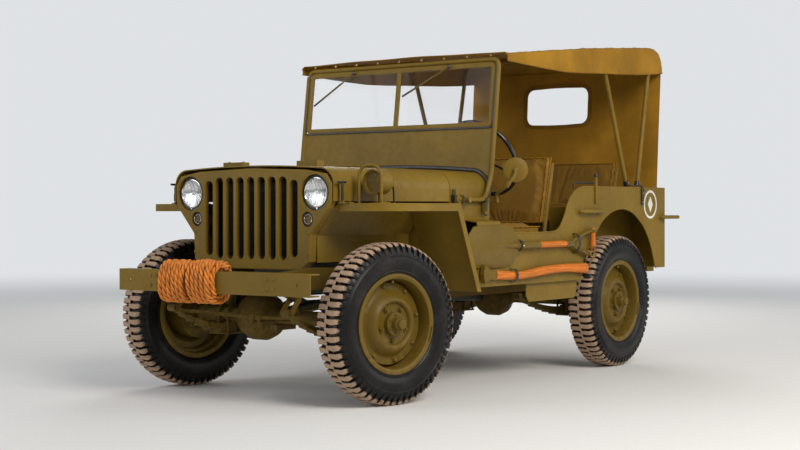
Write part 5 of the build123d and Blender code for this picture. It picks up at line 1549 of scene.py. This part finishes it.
# The edge of the side panel from the door's foot to the rear, and round the wheel arch.
DOOR_EDGE = [
    (0.78, 0.745), (1.0, 0.745), (1.24, 0.745), (1.33, 0.76), (1.392, 0.825), (1.435, 0.9),
    (1.492, 0.95), (1.56, 0.975), (1.646, 0.98), (2.0, 0.98), (2.538, 0.98),
]
ARCH_EDGE = [
    (2.43, 0.528), (2.36, 0.672), (2.273, 0.77), (2.15, 0.842), (2.032, 0.865), (1.91, 0.85),
    (1.8, 0.802), (1.696, 0.713), (1.635, 0.648), (1.582, 0.555), (1.552, 0.493),
]


# Bolts of one side on the grille, fender, bumper and rear: places, direction, and head.
BOLTS = [
    ((0.345,), (-0.229,), (0.665, 0.755), FRONT, (0.0055, 0.004)),
    ((0.489,), (0.02, 0.16, 0.3), (0.888,), UP, (0.0048, 0.0035)),
    ((0.33, 0.368), (-0.4945,), (0.518, 0.562), FRONT, (0.0075, 0.006)),
    ((0.44, 0.56), (2.63,), (0.52, 0.55), REAR, (0.0065, 0.005)),
]
# Rivets of one side on the cowl, rear panel and door sill: places, direction, and radius.
RIVETS = [
    ((0.588,), (0.66, 0.73), (0.84, 0.88), LEFT, 0.006),
    (np.linspace(0.08, 0.68, 7), (2.54,), (0.955, 0.552), REAR, 0.0055),
    ((0.705,), (0.8, 1.42), (0.72,), LEFT, 0.005),
]


class ARMYCAR_OT_body(bpy.types.Operator):
    """Rolled edges, handles, catches, bolts, markings and lamp cable of the body"""

    bl_idname = "army_car.body"
    bl_label = "Body fittings"

    def execute(self, context):
        self.edges()
        self.handles()
        self.markings()
        self.catches()
        self.bolts()
        self.bow_straps()
        self.radiator()
        self.cable()
        return {"FINISHED"}

    def edges(self):
        """A rolled wire edge on the door's opening, the top and the wheel arch."""
        forms = []
        for edge in (DOOR_EDGE, ARCH_EDGE):
            forms.append(tube(np.insert(flowing(edge), 0, 0.7022, 1), 0.0048, LEFT))
        make("body_edges", "paint", *forms, pair=True)

    def handles(self):
        """Plates under the grab handles, the handle round each rear corner and the post."""
        corner = [
            (0.7, 2.468, 0.816), (0.734, 2.472, 0.816), (0.734, 2.666, 0.816), (0.6, 2.666, 0.816),
            (0.596, 2.538, 0.816),
        ]
        front = [(0.7, 1.53, 0.85), (0.7315, 1.53, 0.85), (0.7315, 1.762, 0.85), (0.7, 1.762, 0.85)]
        forms = [tube(bent(line, 0.022), 0.0105, UP, 14) for line in (corner, front)]
        for station, z in ((1.53, 0.85), (1.762, 0.85), (2.472, 0.816)):
            plate = rounded(0.046, 0.034, 0.006) + [station, z]
            forms.append(slab(plate, 0.7045, 0.7085, 0.001, MIDDLE, REAR, UP))
            forms += [rivet((0.708, station + dy, z), LEFT, 0.0045) for dy in (-0.017, 0.017)]
        plate = rounded(0.046, 0.034, 0.006) + [-0.596, 0.816]
        forms.append(slab(plate, 2.5395, 2.5435, 0.001, MIDDLE, RIGHT, UP))
        make("grab_handles", "paint", *forms, pair=True)
        post = block((0.7055, 1.704, 0.892), (0.7155, 1.721, 1.034), 0.0025)
        foot = [rivet((0.7155, 1.7125, z), LEFT, 0.005) for z in (0.905, 0.96)]
        make("side_posts", "paint", post, *foot, pair=True)
        knob = [
            (0.0, -0.006), (0.0085, -0.004), (0.011, 0.003), (0.0105, 0.012), (0.006, 0.0185),
            (0, 0.02),
        ]
        knob = turned(knob, (0.7105, 1.7125, 1.034), UP, 20)
        rail = [(0.69, 1.512, 0.975), (0.69, 1.512, 1.0), (0.69, 1.726, 1.0)]
        bar = tube(bent(rail, 0.008), 0.005)
        make("side_rails", "leather", knob, bar, pair=True)

    def markings(self):
        """A painted ring with a plain diamond on each side of the body."""
        place = np.array([0.7047, 2.357, 0.888])
        ring = turned([(0.067, 0.0), (0.067, 0.001), (0.08, 0.001), (0.08, 0.0)], place, LEFT, 72)
        diamond = [(-0.03, 0.0), (0.0, -0.046), (0.03, 0.0), (0.0, 0.046)]
        diamond = slab(diamond, 0.0, 0.001, 0.0002, place, REAR, UP)
        make("side_marking", "white", ring, diamond, pair=True)

    def catches(self):
        """The hood's side catches: a strap on the fender, a black hook over the hood's edge."""
        y = -0.196
        band = strap([(0.5, y, 0.8925), (0.5005, y, 0.93), (0.5, y, 0.972)], 0.018, 0.004)
        foot = block((0.494, -0.174, 0.8875), (0.534, -0.148, 0.8925))
        heel = block((0.494, -0.209, 0.8875), (0.52, -0.183, 0.8925))
        nuts = [
            bolt_head((x, station, 0.8925), UP, 0.004, 0.004)
            for x, station in ((0.513, -0.195), (0.521, -0.161))
        ]
        make("hood_catches", "paint", band, foot, heel, *nuts, pair=True)
        bar = tube([(0.5035, -0.228, 0.98), (0.5035, -0.168, 0.98)], 0.0052, sides=12)
        hook = tube(flowing([(0.509, y, 0.935), (0.5095, y, 0.962), (0.5035, y, 0.98)]), 0.004)
        spring = tube([(0.509, y, 0.9), (0.509, y, 0.938)], 0.006, sides=12)
        make("catch_hooks", "leather", bar, hook, spring, pair=True)

    def bolts(self):
        """Bolt heads on the grille, fenders, cowl, bumper and bumperettes; screws on the hood."""
        forms = [
            bolt_head((x, y, z), way, *size)
            for xs, ys, zs, way, size in BOLTS for x in xs for y in ys for z in zs
        ]
        forms += [
            rivet((x, y, z), way, size)
            for xs, ys, zs, way, size in RIVETS for x in xs for y in ys for z in zs
        ]
        make("body_bolts", "paint", *forms, pair=True)
        screws = [bolt_head((x, -0.075, 1.082), UP, 0.005, 0.004) for x in (0.182, 0.27)]
        make("hood_screws", "paint", *screws, body="hood", pair=True)

    def bow_straps(self):
        """Black clamps round the bows above the body, with the front bow's strap outside."""
        forms, nuts = [], []
        for foot, head, height in ((2.24, 1.915, 1.7), (2.31, 2.49, 1.75)):
            slope = (head - foot) / (height - 0.9)
            ends = [(0.634, foot + slope * (z - 0.9), z) for z in (0.992, 1.02)]
            forms.append(tube(ends, 0.015, sides=24))
            middle = (np.array(ends[0]) + ends[1]) / 2
            nuts.append(bolt_head(middle + [0.0145, 0, 0], LEFT, 0.0062, 0.006))
        band = [
            (0.71, 2.253, 0.886), (0.711, 2.253, 0.93), (0.711, 2.253, 0.974), (0.7, 2.253, 0.99),
            (0.668, 2.238, 0.992), (0.644, 2.212, 0.994),
        ]
        forms.append(strap(band, 0.03, 0.006))
        nuts += [rivet((0.7138, 2.253, z), LEFT, 0.005) for z in (0.9, 0.95)]
        make("bow_clamps", "leather", *forms, pair=True)
        make("bow_nuts", "steel", *nuts, pair=True)

    def radiator(self):
        """A core at station -0.1462 - 0.004 |sin(pi x / 0.011)| + 0.0008 sin(pi z / 0.0075)."""
        x = np.linspace(-0.2385, 0.2385, 345)
        z = np.linspace(0.652, 0.938, 40)
        x, z = np.meshgrid(x, z, indexing="ij")
        y = -0.1462 - 0.004 * np.abs(np.sin(pi * x / 0.011)) + 0.0008 * np.sin(pi * z / 0.0075)
        make("radiator_core", "core", skin(np.stack([x, y, z], -1)))
        beside = block((0.246, -0.188, 0.64), (0.25, -0.1, 0.985))
        behind = block((0.246, -0.104, 0.64), (0.335, -0.1, 0.985))
        make("radiator_baffles", "core", beside, behind, pair=True)

    def cable(self):
        """The drive lamp's cable: out of the lamp's back and down through the fender."""
        route = np.array([
            (0.6, 0.01, 0.975), (0.6, 0.03, 0.975), (0.597, 0.052, 0.968), (0.59, 0.068, 0.945),
            (0.584, 0.078, 0.918), (0.582, 0.082, 0.893),
        ])
        line = spline_points(route)
        cord = make("lamp_cable", "leather", tube(line, 0.004, sides=10))
        ring = turned(
            [(0.0045, 0.004), (0.009, 0.004), (0.0095, 0.0), (0.0095, -0.002)],
            (0.582, 0.082, 0.888), UP, 20,
        )
        make("cable_grommet", "leather", ring)


# The axe's loop, the shovel's neck and its yoke: station, width, and a line of x and height.
BANDS = [
    (0.866, 0.016, [
        (0.705, 0.508), (0.726, 0.51), (0.7445, 0.522), (0.748, 0.541), (0.744, 0.56),
        (0.726, 0.57), (0.705, 0.572),
    ]),
    (0.908, 0.018, [
        (0.705, 0.655), (0.727, 0.658), (0.749, 0.669), (0.753, 0.685), (0.749, 0.701),
        (0.727, 0.712), (0.705, 0.715),
    ]),
    (1.482, 0.022, [
        (0.705, 0.634), (0.724, 0.638), (0.7395, 0.652), (0.744, 0.685), (0.7395, 0.718),
        (0.724, 0.732), (0.705, 0.736),
    ]),
]


class ARMYCAR_OT_tools(bpy.types.Operator):
    """Wooden handles of shovel and axe, the shovel's yoke, and the straps that hold them"""

    bl_idname = "army_car.tools"
    bl_label = "Tools and straps"

    def execute(self, context):
        x, z = 0.729, 0.685
        station = np.linspace(1.07, 1.412, 14)
        shaft = np.stack([np.full(14, x), station, np.full(14, z)], -1)
        taper = 1 - 0.06 * np.sin(pi * (station - 1.07) / 0.342)
        grip_z = np.linspace(0.607, 0.763, 13)
        bar = np.stack([np.full(13, x), np.full(13, 1.645), grip_z], -1)
        swell = 1 - 0.14 * np.abs(np.linspace(-1, 1, 13)) ** 3
        shovel = together(
            tube(shaft, 0.0172, UP, 20, scale=taper), tube(bar, 0.0145, REAR, 18, scale=swell),
        )
        # The axe's handle: station, height and half depth.
        rows = [
            (0.694, 0.55, 0.0235), (0.74, 0.546, 0.0215), (0.83, 0.541, 0.02),
            (0.921, 0.5395, 0.0195), (1.03, 0.546, 0.0205), (1.127, 0.554, 0.0215),
            (1.25, 0.559, 0.0215), (1.368, 0.5615, 0.0215), (1.45, 0.559, 0.023),
            (1.532, 0.556, 0.026), (1.56, 0.554, 0.0275), (1.576, 0.553, 0.024),
            (1.583, 0.553, 0.014),
        ]
        line = flowing(rows, 6)
        path = np.insert(line[:, :2], 0, x, 1)
        oval = circle(1.0, 22) * [0.0122, 0.0215]
        axe = carried(oval, path, UP, scale=line[:, 2] / 0.0215)
        make("shovel_handle", "wood", shovel, node="tool_handles")
        make("axe_handle", "wood", axe, node="tool_handles")
        arms = []
        for way in (-1, 1):
            bow = [
                (1.372, 0.004), (1.42, 0.009), (1.48, 0.027), (1.56, 0.05), (1.62, 0.062),
                (1.645, 0.062),
            ]
            curve = flowing([(x, station, z + way * height) for station, height in bow])
            arms.append(tube(curve, 0.0098, LEFT, 14))
            cap = [(0.0165, -0.009), (0.018, 0), (0.0165, 0.009), (0, 0.0095)]
            arms.append(turned(cap, (x, 1.645, z + way * 0.062), (0, 0, way), 20))
        ferrule = [(0.018, 0), (0.02, 0.002), (0.0198, 0.066), (0.017, 0.072)]
        ferrule = turned(ferrule, (x, 1.352, z), REAR, 28)
        socket = [(0.0192, 0), (0.0205, 0.003), (0.0205, 0.01), (0.018, 0.012)]
        socket = turned(socket, (x, 1.078, z), REAR, 28)
        studs = [rivet((x + 0.0185, station, z), LEFT, 0.0045) for station in (0.96, 1.04, 1.385)]
        plain = together(*arms, ferrule, socket, *studs)
        make("shovel_yoke", "tool_paint", plain, node="tool_handles")
        self.straps()
        return {"FINISHED"}

    def straps(self):
        """Leather bands over the handles, a webbing strap from the grip, and their buckles."""
        forms = []
        for station, width, line in BANDS:
            forms.append(strap([(x, station, z) for x, z in line], width))
        forms.append(block((0.705, 1.586, 0.497), (0.743, 1.606, 0.523), 0.003))
        forms.append(block((0.705, 1.589, 0.52), (0.712, 1.606, 0.6), 0.002))
        make("tool_straps", "leather", *forms)
        line = [
            (0.7465, 1.632, 0.668), (0.7475, 1.634, 0.64), (0.74, 1.618, 0.6), (0.726, 1.604, 0.56),
            (0.715, 1.598, 0.524),
        ]
        cloth_band = strap(line, 0.022, 0.0026, (0, 1, 0.35))
        marks = in_frame(cloth_band[0])[:, 1:]
        make("grip_strap", "webbing", cloth_band, crease=50.0, marks=marks)
        buckle = [(1.598, 0.612), (1.63, 0.618), (1.622, 0.642), (1.59, 0.636)]
        frame = even_loop(np.insert(buckle, 0, 0.7455, 1), 40)
        knob = turned(
            [(0, 0), (0.007, 0), (0.007, 0.004), (0.004, 0.007), (0, 0.0075)],
            (0.7538, 0.908, 0.683), LEFT, 16,
        )
        make("strap_metal", "brass", tube(frame, 0.0022, LEFT, 8, closed=True), knob)


class ARMYCAR_OT_cabin(bpy.types.Operator):
    """Instruments, pedal rubbers, lever knobs and the horn button"""

    bl_idname = "army_car.cabin"
    bl_label = "Cabin fittings"

    def execute(self, context):
        rims, faces, signs = [], [], []
        dials = [
            (0.02, 0.985, 0.048), (-0.058, 1.012, 0.027), (-0.058, 0.95, 0.027),
            (0.098, 1.012, 0.027), (0.098, 0.95, 0.027),
        ]
        for spot in dials:
            rim, face, sign = dial(*spot)
            rims.append(rim)
            faces.append(face)
            signs.append(sign)
        knob = [
            (0.004, 0), (0.004, 0.012), (0.009, 0.014), (0.0095, 0.022), (0.005, 0.026),
            (0, 0.0265),
        ]
        spots = (-0.1, -0.05, 0.0, 0.1, 0.15, 0.2)
        knobs = [turned(knob, (x, 0.865, 0.905), REAR, 20) for x in spots]
        latch = turned(
            [(0.012, 0), (0.012, 0.006), (0.004, 0.01), (0.004, 0.018), (0, 0.019)],
            (-0.31, 0.864, 0.99), REAR, 20,
        )
        angle = np.linspace(-pi / 2, pi / 2, 11)
        ball = 0.02 * np.stack([np.cos(angle), np.sin(angle)], -1)
        boot = [
            (0.036, 0.0), (0.034, 0.006), (0.026, 0.012), (0.028, 0.018), (0.018, 0.026),
            (0.009, 0.04),
        ]
        for x, station, z in ((0.01, 0.83, 0.872), (-0.055, 0.8, 0.8), (-0.095, 0.8, 0.79)):
            knobs.append(turned(ball, (x, station, z), UP, 28))
            knobs.append(turned(boot, (x, 0.748, 0.53), (0, 0.25, 1), 24))
        make("dial_rims", "black", *rims, *knobs, latch)
        make("dial_faces", "dark", *faces)
        make("dial_signs", "bulb", *signs)
        pads = []
        for px, half in ((0.43, 0.034), (0.225, 0.034), (0.14, 0.022)):
            # A pad lies on the pedal's driver side, with ribs across it.
            foot, head = np.array([px, 0.7025, 0.6985]), np.array([px, 0.7305, 0.7665])
            up, reach = unit(head - foot), np.linalg.norm(head - foot)
            pad = oblong(-half, 0.004, half, reach - 0.004)
            pads.append(slab(pad, -0.001, 0.005, 0.0015, foot, RIGHT, up))
            rib = oblong(0.004 - half, -0.002, half - 0.004, 0.002)
            for share in np.linspace(0.14, 0.86, 6):
                start = foot + up * (share * reach)
                pads.append(slab(rib, 0.004, 0.0072, 0.0008, start, RIGHT, up))
        make("pedal_rubbers", "leather", *pads)
        centre = np.array([0.355, 1.146, 1.123])
        column = unit(np.array([0.055, 0.87, 0.493]))
        horn = [
            (0.0285, 0.004), (0.0285, 0.0135), (0.026, 0.0165), (0.0175, 0.017), (0.016, 0.0195),
            (0.01, 0.0215), (0, 0.022),
        ]
        make("horn_button", "black", turned(horn, centre, column, 40), body="steering_wheel")
        return {"FINISHED"}


class ARMYCAR_OT_rear(bpy.types.Operator):
    """The can's beads, cap and straps, and the tow hook's jaw"""

    bl_idname = "army_car.rear"
    bl_label = "Rear fittings"

    def execute(self, context):
        x0, x1, y0, y1, z0 = 0.27, 0.45, 2.5755, 2.7405, 0.607
        middle, deep = (x0 + x1) / 2, (y0 + y1) / 2
        beads = []
        for way in (-1, 1):
            rise = [(-way, 0.07), (0, 0.18), (way, 0.29)]
            cross = [(middle + share * 0.058, y1, z0 + height) for share, height in rise]
            beads.append(tube(flowing(cross), 0.0055, REAR, 10))
            for x in (x0, x1):
                cross = [(x, deep + share * 0.05, z0 + height) for share, height in rise]
                beads.append(tube(flowing(cross), 0.0055, LEFT, 10))
        loop = rounded(x1 - x0, y1 - y0, 0.03, 7) + [middle, deep]
        for height in (0.006, 0.028, 0.318):
            beads.append(tube(np.insert(loop, 2, z0 + height, 1), 0.0034, UP, 8, closed=True))
        cap = turned(
            [(0.0175, 0), (0.019, 0.004), (0.019, 0.016), (0.015, 0.02), (0, 0.021)],
            (middle, 2.602, 1.004), UP, 28,
        )
        lever = [(2.59, 1.024), (2.606, 1.0275), (2.628, 1.022), (2.634, 1.008)]
        lever = strap(np.insert(lever, 0, middle, 1), 0.012, 0.003, LEFT)
        make("can_beads", "paint", *beads, cap, lever)
        loop = rounded(x1 - x0 + 0.0095, y1 - y0 + 0.0095, 0.033, 7) + [middle, deep]
        line = np.insert(loop, 2, z0 + 0.215, 1)
        band = carried(rounded(0.0026, 0.03, 0.001, 3), line, UP, closed=True)
        points = in_frame(band[0])
        marks = np.stack([points[:, 0] + points[:, 1], points[:, 2]], -1)
        make("can_strap", "webbing", band, crease=50.0, marks=marks)
        frame = np.array(oblong(-0.019, -0.021, 0.019, 0.021)) + [middle, z0 + 0.215]
        frame = even_loop(np.insert(frame, 1, 2.7475, 1), 40)
        buckle = together(
            tube(frame, 0.0024, REAR, 8, closed=True),
            tube([(middle, 2.748, z0 + 0.196), (middle, 2.749, z0 + 0.234)], 0.0018),
        )
        make("can_buckle", "brass", buckle)
        jaw = flowing([
            (0, 2.672, 0.583), (0, 2.706, 0.59), (0, 2.738, 0.578), (0, 2.75, 0.55),
            (0, 2.738, 0.522), (0, 2.712, 0.512),
        ])
        low = flowing([(0, 2.672, 0.52), (0, 2.7, 0.517), (0, 2.716, 0.528), (0, 2.722, 0.545)])
        plate = slab(
            rounded(0.11, 0.09, 0.01) + [0.0, 0.55], 2.6, 2.608, 0.0015, MIDDLE, RIGHT, UP,
        )
        nuts = [
            bolt_head((x, 2.608, z), REAR, 0.008, 0.006)
            for x in (-0.04, 0.04) for z in (0.52, 0.58)
        ]
        collar = turned(
            [(0.026, 0), (0.034, 0.004), (0.034, 0.018), (0.026, 0.022)], (0, 2.64, 0.55), REAR, 32,
        )
        make(
            "tow_jaw", "under_paint", tube(jaw, 0.0115, LEFT, 14), tube(low, 0.0095, LEFT, 14),
            plate, *nuts, collar,
        )
        return {"FINISHED"}


OPERATORS = [
    ARMYCAR_OT_stage, ARMYCAR_OT_finishes, ARMYCAR_OT_rope, ARMYCAR_OT_tyres, ARMYCAR_OT_wheels,
    ARMYCAR_OT_canvas, ARMYCAR_OT_cushions, ARMYCAR_OT_lamps, ARMYCAR_OT_windshield,
    ARMYCAR_OT_body, ARMYCAR_OT_tools, ARMYCAR_OT_cabin, ARMYCAR_OT_rear,
]


class ARMYCAR_PT_panel(bpy.types.Panel):
    """The car's settings and pieces"""

    bl_idname = "ARMYCAR_PT_panel"
    bl_label = "Army Car"
    bl_space_type = "VIEW_3D"
    bl_region_type = "UI"
    bl_category = "Army Car"

    def draw(self, context):
        look = context.scene.army_car
        for group in (look.paint, look.tyre, look.canvas, look.rope, look.tools):
            box = self.layout.box()
            for name in group.__annotations__:
                box.prop(group, name)
        for operator in OPERATORS:
            self.layout.operator(operator.bl_idname)


GROUPS = [PaintLook, TyreLook, CanvasLook, RopeLook, ToolLook, CarLook]


def register():
    """Adds the settings, the operators and the panel to Blender."""
    for kind in (*GROUPS, *OPERATORS, ARMYCAR_PT_panel):
        bpy.utils.register_class(kind)
    bpy.types.Scene.army_car = bpy.props.PointerProperty(type=CarLook)


def unregister():
    """Takes them out again."""
    del bpy.types.Scene.army_car
    for kind in reversed((*GROUPS, *OPERATORS, ARMYCAR_PT_panel)):
        bpy.utils.unregister_class(kind)


def main():
    """Dresses the car, piece by piece."""
    register()
    for operator in OPERATORS:
        group, name = operator.bl_idname.split(".")
        getattr(getattr(bpy.ops, group), name)()


if __name__ == "__main__":
    main()
